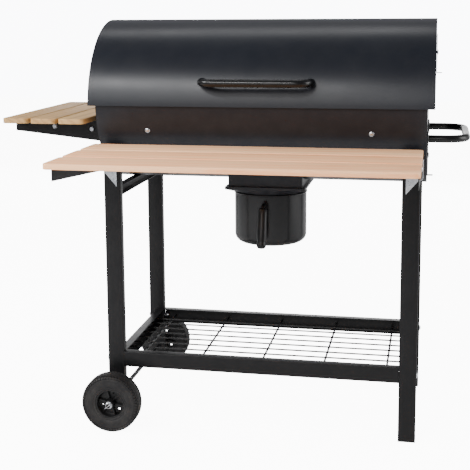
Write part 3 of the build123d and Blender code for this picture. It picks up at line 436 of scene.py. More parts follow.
FINISHES: dict[Slot, Union[CoatFinish, MetalFinish, WoodFinish]] = {
    Slot.LID_PAINT: CoatFinish(
        srgb(16, 18, 25), srgb(18, 21, 28), 0.30, 0.35, 520.0, 0.03 * MM, 3.0, 4.0, 0.27, 0.015
    ),
    Slot.BOWL_PAINT: CoatFinish(
        srgb(21, 22, 27), srgb(23, 24, 29), 0.36, 0.42, 520.0, 0.03 * MM, 3.0, 4.0, 0.22, 0.03
    ),
    Slot.FRAME_PAINT: CoatFinish(
        srgb(8, 8, 10), srgb(11, 11, 13), 0.34, 0.42, 900.0, 0.02 * MM, specular=0.22, dust=0.015
    ),
    Slot.HANDLE_GLOSS: CoatFinish(
        srgb(6, 6, 7), srgb(8, 8, 9), 0.24, 0.3, 700.0, 0.0, specular=0.3
    ),
    Slot.BUCKET_PAINT: CoatFinish(
        srgb(6, 6, 8), srgb(8, 8, 10), 0.2, 0.27, 400.0, 0.015 * MM, specular=0.28, dust=0.01
    ),
    Slot.GRIP_PLASTIC: CoatFinish(
        srgb(9, 9, 10), srgb(12, 12, 13), 0.3, 0.38, 1200.0, specular=0.28
    ),
    Slot.SHELF_WIRE: CoatFinish(
        srgb(12, 12, 14), srgb(16, 16, 18), 0.3, 0.4, 900.0, specular=0.3
    ),
    Slot.TYRE: CoatFinish(
        srgb(15, 15, 17), srgb(20, 20, 22), 0.5, 0.65, 900.0, 0.05 * MM, specular=0.22, dust=0.12
    ),
    Slot.RIM_PLASTIC: CoatFinish(
        srgb(10, 10, 12), srgb(13, 13, 15), 0.34, 0.44, 1100.0, specular=0.28, dust=0.04
    ),
    Slot.CHARCOAL_IRON: CoatFinish(
        srgb(38, 36, 35), srgb(54, 49, 46), 0.5, 0.7, 500.0, 0.12 * MM, cloud_scale=40.0, dust=0.3
    ),
    Slot.ZINC: MetalFinish(srgb(205, 207, 210), srgb(172, 175, 180), 0.22, 0.36),
    Slot.GRATE_CHROME: MetalFinish(srgb(208, 208, 210), srgb(186, 186, 188), 0.1, 0.2),
    Slot.FRONT_WOOD: WoodFinish(
        srgb(255, 204, 152), srgb(250, 144, 74), srgb(255, 214, 172), Grain.ALONG_X, 26.0, 3.0, 0.5
    ),
    Slot.SIDE_WOOD: WoodFinish(
        srgb(188, 150, 92), srgb(132, 86, 38), srgb(198, 166, 118), Grain.ALONG_Y, 46.0, 3.4, 0.55
    ),
}


class Paintshop:
    """Makes every finish once, and dresses the CAD nodes that stay in sight."""

    def __init__(self) -> None:
        """Builds the shared effects and all materials."""
        effects = Effects()
        self.materials = {slot: finish.make(slot, effects) for slot, finish in FINISHES.items()}

    def dress_cad_nodes(self, covered: Iterable[str]) -> None:
        """Gives each CAD node its finish.

        Args:
            covered: The nodes that new pieces stand for.
        """
        hidden = set(covered)
        for part in frame["record"]["subparts"]:
            node = part["node"]
            if node in hidden:
                continue
            target = frame["nodes"][node]
            material = self.materials[Slot(part["material_slot"])]
            for holder in target.material_slots:
                holder.material = material
            if not target.material_slots:
                target.data.materials.append(material)
            log.info("dressed CAD node %s", node)


# ------------------------------------------------------------------ bench tools
@dataclass(frozen=True)
class Span:
    """The lowest and highest corners of a CAD node at rest."""

    low: Vector
    high: Vector

    @property
    def middle(self) -> Vector:
        """Gives the point between the two corners."""
        return (self.low + self.high) / 2.0

    @property
    def size(self) -> Vector:
        """Gives the length along each axis."""
        return self.high - self.low


def span(node: str) -> Span:
    """Reads where a CAD node lies at rest."""
    low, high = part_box(node)
    return Span(Vector(low), Vector(high))


def runs_along(edge: bmesh.types.BMEdge, way: Vector) -> bool:
    """Tells whether an edge runs along a direction."""
    start, end = (point.co for point in edge.verts)
    return abs((end - start).normalized().dot(way)) > 0.99


def points_of(made: Iterable[object]) -> list[bmesh.types.BMVert]:
    """Picks the vertices out of what an operator made."""
    return [part for part in made if isinstance(part, bmesh.types.BMVert)]


def frame_at(middle: Vector, way: Vector) -> Matrix:
    """Gives the place of a shape whose own Z points along a direction."""
    return Matrix.Translation(middle) @ way.to_track_quat("Z", "Y").to_matrix().to_4x4()


@dataclass(frozen=True)
class Run:
    """A straight length of tube."""

    travel: Vector

    def push(self, mesh: bmesh.types.BMesh, rim: Rim) -> Rim:
        """Pulls the open rim straight.

        Args:
            mesh: The mesh that the tube is in.
            rim: The edges round its open end.

        Returns:
            The edges round the new end.
        """
        made = bmesh.ops.extrude_edge_only(mesh, edges=rim)["geom"]
        points = points_of(made)
        bmesh.ops.translate(mesh, vec=self.travel, verts=points)
        fresh = set(points)
        return [e for e in made if isinstance(e, bmesh.types.BMEdge) and set(e.verts) <= fresh]


@dataclass(frozen=True)
class Bend:
    """A bend in a tube, about an axis through a centre."""

    centre: Vector
    axis: Vector
    angle: float
    steps: int = 12

    def push(self, mesh: bmesh.types.BMesh, rim: Rim) -> Rim:
        """Swings the open rim round the bend.

        Args:
            mesh: The mesh that the tube is in.
            rim: The edges round its open end.

        Returns:
            The edges round the new end.
        """
        points = list({vertex for edge in rim for vertex in edge.verts})
        turn = {"cent": self.centre, "axis": self.axis, "angle": self.angle, "steps": self.steps}
        made = bmesh.ops.spin(mesh, geom=points + rim, **turn)["geom_last"]
        return [part for part in made if isinstance(part, bmesh.types.BMEdge)]


class Workpiece:
    """One piece on the bench: its mesh and the operators that shape it."""

    def __init__(self, name: str) -> None:
        """Starts an empty piece."""
        self.name = name
        self.mesh = bmesh.new()

    def ease(self, edges: Iterable[bmesh.types.BMEdge], width: float, segments: int = 3) -> None:
        """Rounds some edges."""
        chosen = list(edges)
        options = {"affect": "EDGES", "profile": 0.5, "material": -1, "clamp_overlap": True}
        bmesh.ops.bevel(self.mesh, geom=chosen, offset=width, segments=segments, **options)

    def bar(self, low: Vector, high: Vector, ease: float, along: Optional[Vector] = None) -> None:
        """Adds a squared bar.

        Args:
            low: Its lowest corner.
            high: Its highest corner.
            ease: How far its edges are rounded.
            along: The only direction whose edges are rounded, where not all are.
        """
        points = bmesh.ops.create_cube(self.mesh, size=1.0)["verts"]
        bmesh.ops.scale(self.mesh, vec=high - low, verts=points)
        bmesh.ops.translate(self.mesh, vec=(low + high) / 2.0, verts=points)
        edges = {edge for point in points for edge in point.link_edges}
        self.ease([edge for edge in edges if along is None or runs_along(edge, along)], ease)

    def rod(self, start: Vector, end: Vector, radius: float, sides: int) -> None:
        """Adds a round or many-sided rod.

        Args:
            start: The middle of its first end.
            end: The middle of its last end.
            radius: Its radius.
            sides: How many sides it has.
        """
        run = end - start
        size = {"segments": sides, "radius1": radius, "radius2": radius, "depth": run.length}
        place = frame_at((start + end) / 2.0, run)
        bmesh.ops.create_cone(self.mesh, cap_ends=True, matrix=place, **size)

    def lathe(
        self, profile: Profile, origin: Vector, axis: Vector, steps: int, ring: bool = False
    ) -> None:
        """Turns a profile about an axis.

        Args:
            profile: Points as (distance from the axis, distance along it).
            origin: A point on the axis, where the distance along is 0.
            axis: The axis's direction.
            steps: How many steps a turn has.
            ring: Whether the profile's last point joins its first.
        """
        side = axis.orthogonal().normalized()
        places = [origin + side * away + axis * along for away, along in profile]
        points = [self.mesh.verts.new(place) for place in places]
        pairs = list(zip(points, points[1:])) + ([(points[-1], points[0])] if ring else [])
        edges = [self.mesh.edges.new(pair) for pair in pairs]
        turn = {"cent": origin, "axis": axis, "angle": FULL_TURN, "steps": steps, "use_merge": True}
        bmesh.ops.spin(self.mesh, geom=points + edges, **turn)

    def tube(
        self,
        start: Vector,
        heading: Vector,
        radius: float,
        moves: Sequence[Union[Run, Bend]],
        sides: int,
    ) -> None:
        """Adds a round tube that follows straight lengths and bends.

        Args:
            start: The middle of its first end.
            heading: The way it sets off.
            radius: Its radius.
            moves: The lengths and bends, in order.
            sides: How many sides it has.
        """
        size = {"radius": radius, "segments": sides, "matrix": frame_at(start, heading)}
        ring = bmesh.ops.create_circle(self.mesh, cap_ends=False, **size)["verts"]
        first = list({edge for point in ring for edge in point.link_edges})
        last = first
        for move in moves:
            last = move.push(self.mesh, last)
        for rim in (first, last):
            bmesh.ops.edgeloop_fill(self.mesh, edges=rim)

    def plate(self, outline: Sequence[Vector], thickness: Vector) -> None:
        """Adds a flat plate.

        Args:
            outline: Its corners, in order.
            thickness: The way from that face to the other one.
        """
        face = self.mesh.faces.new([self.mesh.verts.new(corner) for corner in outline])
        self.grow([face], thickness)

    def grow(self, faces: list[bmesh.types.BMFace], travel: Vector) -> None:
        """Extrudes faces into a closed solid."""
        made = bmesh.ops.extrude_face_region(self.mesh, geom=faces, use_keep_orig=True)["geom"]
        bmesh.ops.translate(self.mesh, vec=travel, verts=points_of(made))

    def rolled_sheet(
        self, start: Vector, end: Vector, centre: Vector, angle: float, length: float
    ) -> None:
        """Adds a sheet rolled about a line along X.

        Args:
            start: The outer corner of one rim.
            end: The inner corner of the same rim.
            centre: The middle of the roll, at the same end.
            angle: How far it is rolled.
            length: Its length along X.
        """
        corners = [self.mesh.verts.new(start), self.mesh.verts.new(end)]
        edge = self.mesh.edges.new(corners)
        turn = {"cent": centre, "axis": RIGHT, "angle": angle, "steps": ROLL_STEPS}
        bmesh.ops.spin(self.mesh, geom=corners + [edge], **turn)
        self.grow(list(self.mesh.faces), RIGHT * length)

    def close_up(self) -> None:
        """Merges doubled points and points every face outwards."""
        bmesh.ops.remove_doubles(self.mesh, verts=self.mesh.verts, dist=0.002 * MM)
        bmesh.ops.recalc_face_normals(self.mesh, faces=self.mesh.faces)

    def _as_object(self) -> bpy.types.Object:
        """Puts the mesh in a linked object."""
        mesh = bpy.data.meshes.new(self.name)
        self.mesh.to_mesh(mesh)
        item = bpy.data.objects.new(self.name, mesh)
        bpy.context.scene.collection.objects.link(item)
        return item

    def cut(self, cutter: "Workpiece") -> None:
        """Takes another piece's shape out of this one."""
        self.close_up()
        cutter.close_up()
        blank, tool = self._as_object(), cutter._as_object()
        job = blank.modifiers.new("cut", "BOOLEAN")
        job.object, job.operation, job.solver = tool, "DIFFERENCE", "EXACT"
        result = blank.evaluated_get(bpy.context.evaluated_depsgraph_get())
        shaped = bpy.data.meshes.new_from_object(result)
        self.mesh.free()
        cutter.mesh.free()
        self.mesh = bmesh.new()
        self.mesh.from_mesh(shaped)
        for item in (blank, tool):
            mesh = item.data
            bpy.data.objects.remove(item)
            bpy.data.meshes.remove(mesh)
        bpy.data.meshes.remove(shaped)


class Workshop:
    """Turns finished workpieces into pieces of the grill, and remembers what they stand for."""

    def __init__(self, paintshop: Paintshop) -> None:
        """Starts with nothing built."""
        self.paintshop = paintshop
        self.covered: list[str] = []

    def fit(
        self,
        piece: Workpiece,
        body: Body,
        slot: Slot,
        stands_for: Sequence[str],
        sharp: float = 34.0,
    ) -> bpy.types.Object:
        """Finishes a piece, dresses it and hangs it on its body.

        Args:
            piece: The piece.
            body: The body that it moves with.
            slot: The slot that its finish comes from.
            stands_for: The CAD nodes that it replaces.
            sharp: The angle in degrees past which an edge stays sharp.

        Returns:
            The piece's object.
        """
        piece.close_up()
        for face in piece.mesh.faces:
            face.smooth = True
        item = piece._as_object()
        piece.mesh.free()
        item.data.set_sharp_from_angle(angle=math.radians(sharp))
        item.data.materials.append(self.paintshop.materials[slot])
        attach(item, body.value)
        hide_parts(*stands_for)
        self.covered.extend(stands_for)
        log.info("built %s on %s", piece.name, body.value)
        return item


BOLT_DOME = (
    (0.0, 1.0),
    (0.38, 0.96),
    (0.7, 0.74),
    (0.92, 0.38),
    (1.0, 0.1),
    (1.0, 0.0),
    (0.0, 0.0),
)


@dataclass(frozen=True)
class Bolt:
    """A domed bolt or screw, with a nut under it where it has one."""

    seat: Vector
    out: Vector
    shank: float = 3.0 * MM
    grip: float = 12.0 * MM
    nut_at: Optional[float] = None
    head_share: float = 2.1
    dome_share: float = 0.55

    def add_to(self, piece: Workpiece) -> None:
        """Adds the bolt's head, stem and nut to a piece."""
        head = self.head_share * self.shank
        rise = self.dome_share * head
        dome = [(head * away, rise * along) for away, along in BOLT_DOME]
        piece.lathe(dome, self.seat, self.out, steps=20)
        piece.rod(self.seat, self.seat - self.out * self.grip, self.shank, sides=12)
        if self.nut_at is not None:
            top = self.seat - self.out * self.nut_at
            piece.rod(top, top - self.out * (1.6 * self.shank), 1.9 * self.shank, sides=6)


@dataclass
class Barrel:
    """Where the barrel lies, read from the CAD frame."""

    sheet: float = 1.5 * MM
    lid: Span = field(default_factory=lambda: span("lid_shell"))
    bowl: Span = field(default_factory=lambda: span("bowl_shell"))

    def __post_init__(self) -> None:
        """Works out the axis and radius of each half."""
        rise, half = self.lid.size.z, self.lid.size.y / 2.0
        self.middle_x, self.middle_y = self.lid.middle.x, self.lid.middle.y
        self.lid_radius = (rise * rise + half * half) / (2.0 * rise)
        self.lid_axis_z = self.lid.high.z - self.lid_radius
        self.bowl_radius = self.bowl.size.z
        self.bowl_axis_z = self.bowl.high.z

    def at(self, x: float, y: float, z: float) -> Vector:
        """Gives a point from the barrel's middle line and the ground."""
        return Vector((self.middle_x + x, self.middle_y + y, z))

    def on_bowl(
        self, x: float, z: float, rear: bool, depth: float = 0.0
    ) -> tuple[Vector, Vector]:
        """Finds a spot on the bowl's skin, moved in by a depth, and the way out there."""
        return self._on_skin(self.bowl_axis_z, self.bowl_radius, x, z, rear, depth)

    def on_lid(self, x: float, z: float, rear: bool) -> tuple[Vector, Vector]:
        """Finds a spot on the lid's skin and the way out there."""
        return self._on_skin(self.lid_axis_z, self.lid_radius, x, z, rear, 0.0)

    def _on_skin(
        self, axis_z: float, radius: float, x: float, z: float, rear: bool, depth: float
    ) -> tuple[Vector, Vector]:
        """Finds a spot on a rolled skin.

        Args:
            axis_z: The height of the skin's axis.
            radius: The skin's radius.
            x: The spot's place along the barrel, from the middle.
            z: Its height.
            rear: Whether it is on the far side.
            depth: How far it is moved in from the skin.

        Returns:
            The spot and the way out of the skin there.
        """
        rise = z - axis_z
        side = 1.0 if rear else -1.0
        out = Vector((0.0, side * math.sqrt(radius**2 - rise**2), rise)) / radius
        return self.at(x, 0.0, axis_z) + out * (radius - depth), out


# ------------------------------------------------------------------ the grill's assemblies
@dataclass
class Lid:
    """The half-round lid with its handle."""

    shop: Workshop
    barrel: Barrel
    handle_radius: float = 9.0 * MM
    handle_bend: float = 34.0 * MM
    handle_sink: float = 4.0 * MM
    hinge_spacing: float = 420.0 * MM
    leaf: float = 2.0 * MM
    leaf_rise: tuple[float, float] = (22.3 * MM, 42.7 * MM)
    leaf_screw: float = 2.0 * MM
    pin_drop: float = 5.5 * MM
    handle_screw: float = 2.5 * MM

    def build(self) -> None:
        """Builds the lid's pieces."""
        self.build_skin()
        self.build_handle()
        self.build_screws()

    def build_skin(self) -> None:
        """Rolls the lid's sheet from the front rim over to the rear one."""
        barrel = self.barrel
        box = barrel.lid
        rim = Vector((box.low.x, box.low.y, box.low.z))
        centre = Vector((box.low.x, barrel.middle_y, barrel.lid_axis_z))
        inner = rim + (centre - rim).normalized() * barrel.sheet
        rim_turn = math.asin((box.low.z - barrel.lid_axis_z) / barrel.lid_radius)
        skin = Workpiece("lid_skin")
        skin.rolled_sheet(rim, inner, centre, -(math.pi - 2.0 * rim_turn), box.size.x)
        self.shop.fit(skin, Body.LID, Slot.LID_PAINT, ["lid_shell"])

    def build_handle(self) -> None:
        """Bends the handle's tube out of the lid's skin and back into it."""
        box = span("lid_handle")
        radius, bend = self.handle_radius, self.handle_bend
        left, right = box.low.x + radius, box.high.x - radius
        out_y = box.low.y + radius
        z = box.middle.z
        arm = out_y + bend - (box.high.y - self.handle_sink)
        moves = (
            Run(REAR * arm),
            Bend(Vector((left + bend, out_y + bend, z)), UP, QUARTER_TURN),
            Run(RIGHT * (right - left - 2.0 * bend)),
            Bend(Vector((right - bend, out_y + bend, z)), UP, QUARTER_TURN),
            Run(REAR * -arm),
        )
        handle = Workpiece("lid_handle_tube")
        root = Vector((left, box.high.y - self.handle_sink, z))
        handle.tube(root, FRONT, radius, moves, sides=32)
        self.shop.fit(handle, Body.LID, Slot.HANDLE_GLOSS, ["lid_handle"])

    def build_screws(self) -> None:
        """Adds the screws inside the lid that hold the handle, and those of the hinge leaves."""
        handle, screws = span("lid_handle"), Workpiece("lid_fasteners")
        for x in (handle.low.x + self.handle_radius, handle.high.x - self.handle_radius):
            spot, out = self.barrel.on_lid(x - self.barrel.middle_x, handle.middle.z, rear=False)
            seat = spot - out * (2.0 * self.barrel.sheet)
            Bolt(seat, -out, self.handle_screw).add_to(screws)
        pin_z = self.barrel.lid.low.z - self.pin_drop
        for side in (-0.5, 0.5):
            for rise in self.leaf_rise:
                spot, out = self.barrel.on_lid(side * self.hinge_spacing, pin_z + rise, rear=True)
                grip = self.leaf + self.barrel.sheet
                seat = spot + out * self.leaf
                Bolt(seat, out, self.leaf_screw, grip + THREAD_TAIL, grip).add_to(screws)
        self.shop.fit(screws, Body.LID, Slot.ZINC, ["lid_screws"])


@dataclass
class Bowl:
    """The fire bowl: its rolled sheet and the bolts through it."""

    shop: Workshop
    barrel: Barrel
    ash_hole: float = 72.0 * MM
    ledge_bolts_x: float = 253.0 * MM
    ledge_drop: float = 11.0 * MM
    saddle_bolts_x: float = 340.35 * MM
    saddle_bolts_z: float = 644.0 * MM
    leaf_drop: float = 47.0 * MM
    leaf_edge: float = 15.84 * MM
    hinge_x: float = 210.0 * MM
    leaf: float = 2.0 * MM
    leaf_screw: float = 2.0 * MM
    seat_depth: float = 1.9 * MM
    arm_bolts_y: float = 128.0 * MM
    bracket_bolts_y: float = 139.5 * MM
    bracket_bolts_drop: float = 20.0 * MM
    bracket_grip: float = 10.0 * MM

    def build(self) -> None:
        """Builds the bowl's pieces."""
        barrel = self.barrel
        box = barrel.bowl
        centre = Vector((box.low.x, barrel.middle_y, barrel.bowl_axis_z))
        skin = Workpiece("bowl_skin")
        outer = centre + FRONT * barrel.bowl_radius
        skin.rolled_sheet(outer, outer + REAR * barrel.sheet, centre, math.pi, box.size.x)
        hole = Workpiece("ash_hole_tool")
        foot = barrel.at(0.0, 0.0, box.low.z)
        hole.rod(foot + DOWN * self.ash_hole, foot + UP * self.ash_hole, self.ash_hole, sides=64)
        skin.cut(hole)
        self.shop.fit(skin, Body.FRAME, Slot.BOWL_PAINT, ["bowl_shell"])
        self.build_bolts()

    def build_bolts(self) -> None:
        """Adds the bolts of the ledges, saddles, hinge leaves, brackets and push handle."""
        barrel, bolts = self.barrel, Workpiece("bowl_fasteners")
        ledge_z = span("grate_ledge_front").high.z - self.ledge_drop
        through = 2.35 * barrel.sheet
        for side in (-1.0, 1.0):
            for rear in (False, True):
                spot, out = barrel.on_bowl(side * self.ledge_bolts_x, ledge_z, rear)
                Bolt(spot, out, nut_at=through).add_to(bolts)
                x, z = side * self.saddle_bolts_x, self.saddle_bolts_z
                spot, out = barrel.on_bowl(x, z, rear, self.seat_depth)
                Bolt(spot, -out).add_to(bolts)
            for edge in (-1.0, 1.0):
                x = side * self.hinge_x + edge * self.leaf_edge
                spot, out = barrel.on_bowl(x, barrel.bowl_axis_z - self.leaf_drop, True)
                grip = self.leaf + barrel.sheet
                seat = spot + out * self.leaf
                Bolt(seat, out, self.leaf_screw, grip + THREAD_TAIL, grip).add_to(bolts)
            right_x = barrel.bowl.high.x - barrel.sheet
            left_x = barrel.bowl.low.x - barrel.sheet
            arm_y = barrel.middle_y + side * self.arm_bolts_y
            Bolt(Vector((right_x, arm_y, span("push_handle").middle.z)), LEFT).add_to(bolts)
            plate_y = barrel.middle_y + side * self.bracket_bolts_y
            plate_z = span("side_brackets").high.z - self.bracket_bolts_drop
            plate = Vector((left_x, plate_y, plate_z))
            nut_at = 2.0 * barrel.sheet
            Bolt(plate, LEFT, grip=self.bracket_grip, nut_at=nut_at).add_to(bolts)
        self.shop.fit(bolts, Body.FRAME, Slot.ZINC, ["bowl_bolts"])


@dataclass
class Grates:
    """The two cooking grates and the charcoal grate inside the barrel."""

    shop: Workshop
    frame_rod: float = 3.0 * MM
    wire: float = 2.0 * MM
    wire_rise: float = 0.6 * MM
    wire_count: int = 17
    charcoal_rods: int = 13
    charcoal_bars: tuple[float, float, float] = (-0.4, 0.0, 0.4)

    def build(self) -> None:
        """Builds all three grates."""
        self.build_cooking_grate("cooking_grate_left", Body.GRATE_LEFT)
        self.build_cooking_grate("cooking_grate_right", Body.GRATE_RIGHT)
        self.build_charcoal_grate()

    def build_cooking_grate(self, node: str, body: Body) -> None:
        """Builds a rod frame with wires across it.

        Args:
            node: The CAD node that it stands for.
            body: The body that it moves with.
        """
        box, rod = span(node), self.frame_rod
        z = box.low.z + rod
        west, east = box.low.x + rod, box.high.x - rod
        south, north = box.low.y + rod, box.high.y - rod
        places = ((west, south), (east, south), (east, north), (west, north))
        corners = [Vector((x, y, z)) for x, y in places]
        grate = Workpiece(f"{node}_wires")
        for start, end in zip(corners, corners[1:] + corners[:1]):
            grate.rod(start, end, rod, sides=12)
        pitch = box.size.x / (self.wire_count + 1)
        for number in range(self.wire_count):
            x = box.middle.x + (number - (self.wire_count - 1) / 2.0) * pitch
            height = z + self.wire_rise
            grate.rod(Vector((x, south, height)), Vector((x, north, height)), self.wire, sides=10)
        self.shop.fit(grate, body, Slot.GRATE_CHROME, [node])

    def build_charcoal_grate(self) -> None:
        """Builds the long rods under the charcoal and the bars that carry them."""
        box, rod = span("charcoal_grate"), self.frame_rod
        grate = Workpiece("charcoal_grate_rods")
        pitch = (box.size.y - 2.0 * rod) / (self.charcoal_rods - 1)
        top_z = box.high.z - rod
        for number in range(self.charcoal_rods):
            y = box.low.y + rod + number * pitch
            grate.rod(Vector((box.low.x, y, top_z)), Vector((box.high.x, y, top_z)), rod, sides=12)
        for share in self.charcoal_bars:
            x, z = box.middle.x + share * box.size.x, top_z - 1.0 * MM
            start, end = Vector((x, box.low.y + rod, z)), Vector((x, box.high.y - rod, z))
            grate.rod(start, end, rod, sides=12)
        self.shop.fit(grate, Body.CHARCOAL_GRATE, Slot.CHARCOAL_IRON, ["charcoal_grate"])


GRIP_SHAPE = (
    ((0.0, 0.04), (0.5, 0.043), (0.8, 0.06), (0.92, 0.1), (0.94, 0.2))
    + ((0.96, 0.45), (1.0, 0.62), (0.98, 0.76), (0.9, 0.85), (0.87, 0.89))
    + ((0.93, 0.93), (0.96, 0.965), (0.86, 1.0), (0.56, 1.03), (0.0, 1.04))
)


@dataclass
class AshBucket:
    """The round ash bucket under the hopper, and its grip."""

    shop: Workshop
    rim_bead: float = 2.0 * MM
    wall: float = 1.2 * MM
    corner: float = 20.0 * MM
    corner_steps: int = 8
    neck_radius: float = 5.0 * MM
    neck_bend: float = 14.0 * MM
    grip_radius: float = 11.5 * MM
    grip_gap: float = 27.0 * MM
    grip_lean: float = 26.0 * MM
    grip_drop: float = 20.0 * MM
    grip_length: float = 96.0 * MM

    def build(self) -> None:
        """Builds the bucket and its grip."""
        box = span("ash_bucket")
        radius = box.size.x / 2.0 - self.rim_bead
        foot = Vector((box.middle.x, box.middle.y, box.low.z))
        self.build_pan(foot, radius, box.size.z)
        self.build_grip(foot, radius, box.size.z)

    def build_pan(self, foot: Vector, radius: float, height: float) -> None:
        """Turns the bucket from its profile.

        Args:
            foot: The middle of its underside.
            radius: Its outer radius.
            height: Its height.
        """
        bead, wall, corner = self.rim_bead, self.wall, self.corner
        turns = [QUARTER_TURN * step / self.corner_steps for step in range(self.corner_steps + 1)]
        bend = [(math.sin(turn), 1.0 - math.cos(turn)) for turn in turns]
        outside = [(radius - corner + corner * away, corner * up) for away, up in bend]
        inner = corner - wall
        hollow = [(radius - corner + inner * away, wall + inner * up) for away, up in bend]
        rim = [
            (radius, height - 4.5 * MM),
            (radius + 0.6 * bead, height - 4.0 * MM),
            (radius + bead, height - 3.0 * MM),
            (radius + bead, height - 1.4 * MM),
            (radius + 0.6 * bead, height - 0.4 * MM),
            (radius, height),
            (radius - wall, height - 0.2 * MM),
        ]
        pan = Workpiece("ash_pan")
        profile = [(0.0, 0.0)] + outside + rim + hollow[::-1] + [(0.0, wall)]
        pan.lathe(profile, foot, UP, steps=96)
        self.shop.fit(pan, Body.BUCKET, Slot.BUCKET_PAINT, ["ash_bucket"])

    def build_grip(self, foot: Vector, radius: float, height: float) -> None:
        """Bends the grip's neck out of the bucket and hangs the moulded grip on it.

        Args:
            foot: The middle of the bucket's underside.
            radius: The bucket's outer radius.
            height: The bucket's height.
        """
        top = foot + Vector((0.0, -radius - self.grip_gap, height - self.grip_drop))
        down = Vector((0.0, -self.grip_lean, -self.grip_length))
        lean = down.normalized()
        grip = Workpiece("bucket_grip")
        turn = math.acos(lean.dot(FRONT))
        reach = self.neck_bend * math.tan(turn / 2.0)
        before = Vector((top.x, top.y + reach, top.z))
        centre = before + DOWN * self.neck_bend
        start = Vector((top.x, foot.y - radius + 1.0 * MM, top.z))
        inside_grip = Run(lean * (0.35 * self.grip_length))
        moves = (Run(before - start), Bend(centre, RIGHT, turn, 8), inside_grip)
        grip.tube(start, FRONT, self.neck_radius, moves, sides=16)
        wide, long = self.grip_radius, self.grip_length
        profile = [(wide * away, long * along) for away, along in GRIP_SHAPE]
        grip.lathe(profile, top, lean, steps=32)
        self.shop.fit(grip, Body.BUCKET, Slot.GRIP_PLASTIC, ["bucket_handle"], sharp=50.0)


@dataclass
class PushHandle:
    """The bent tube on the bowl's right end that the grill is pushed by."""

    shop: Workshop
    radius: float = 8.5 * MM
    bend: float = 48.0 * MM
    flange: float = 3.0 * MM

    def build(self) -> None:
        """Builds the tube and its two flanges."""
        box, radius, bend = span("push_handle"), self.radius, self.bend
        z, root = box.middle.z, box.low.x
        out_x = box.high.x - radius
        near, far = box.low.y + 2.0 * radius, box.high.y - 2.0 * radius
        arm = out_x - bend - root
        moves = (
            Run(RIGHT * arm),
            Bend(Vector((out_x - bend, near + bend, z)), UP, QUARTER_TURN),
            Run(REAR * (far - near - 2.0 * bend)),
            Bend(Vector((out_x - bend, far - bend, z)), UP, QUARTER_TURN),
            Run(LEFT * arm),
        )
        handle = Workpiece("push_handle_tube")
        handle.tube(Vector((root, near, z)), RIGHT, radius, moves, sides=32)
        wide, thick = 2.0 * radius, self.flange
        shape = [(0.0, 0.0), (wide, 0.0), (wide, 0.6 * thick), (0.94 * wide, thick), (0.0, thick)]
        for y in (near, far):
            handle.lathe(shape, Vector((root, y, z)), RIGHT, steps=40)
        self.shop.fit(handle, Body.FRAME, Slot.HANDLE_GLOSS, ["push_handle"])


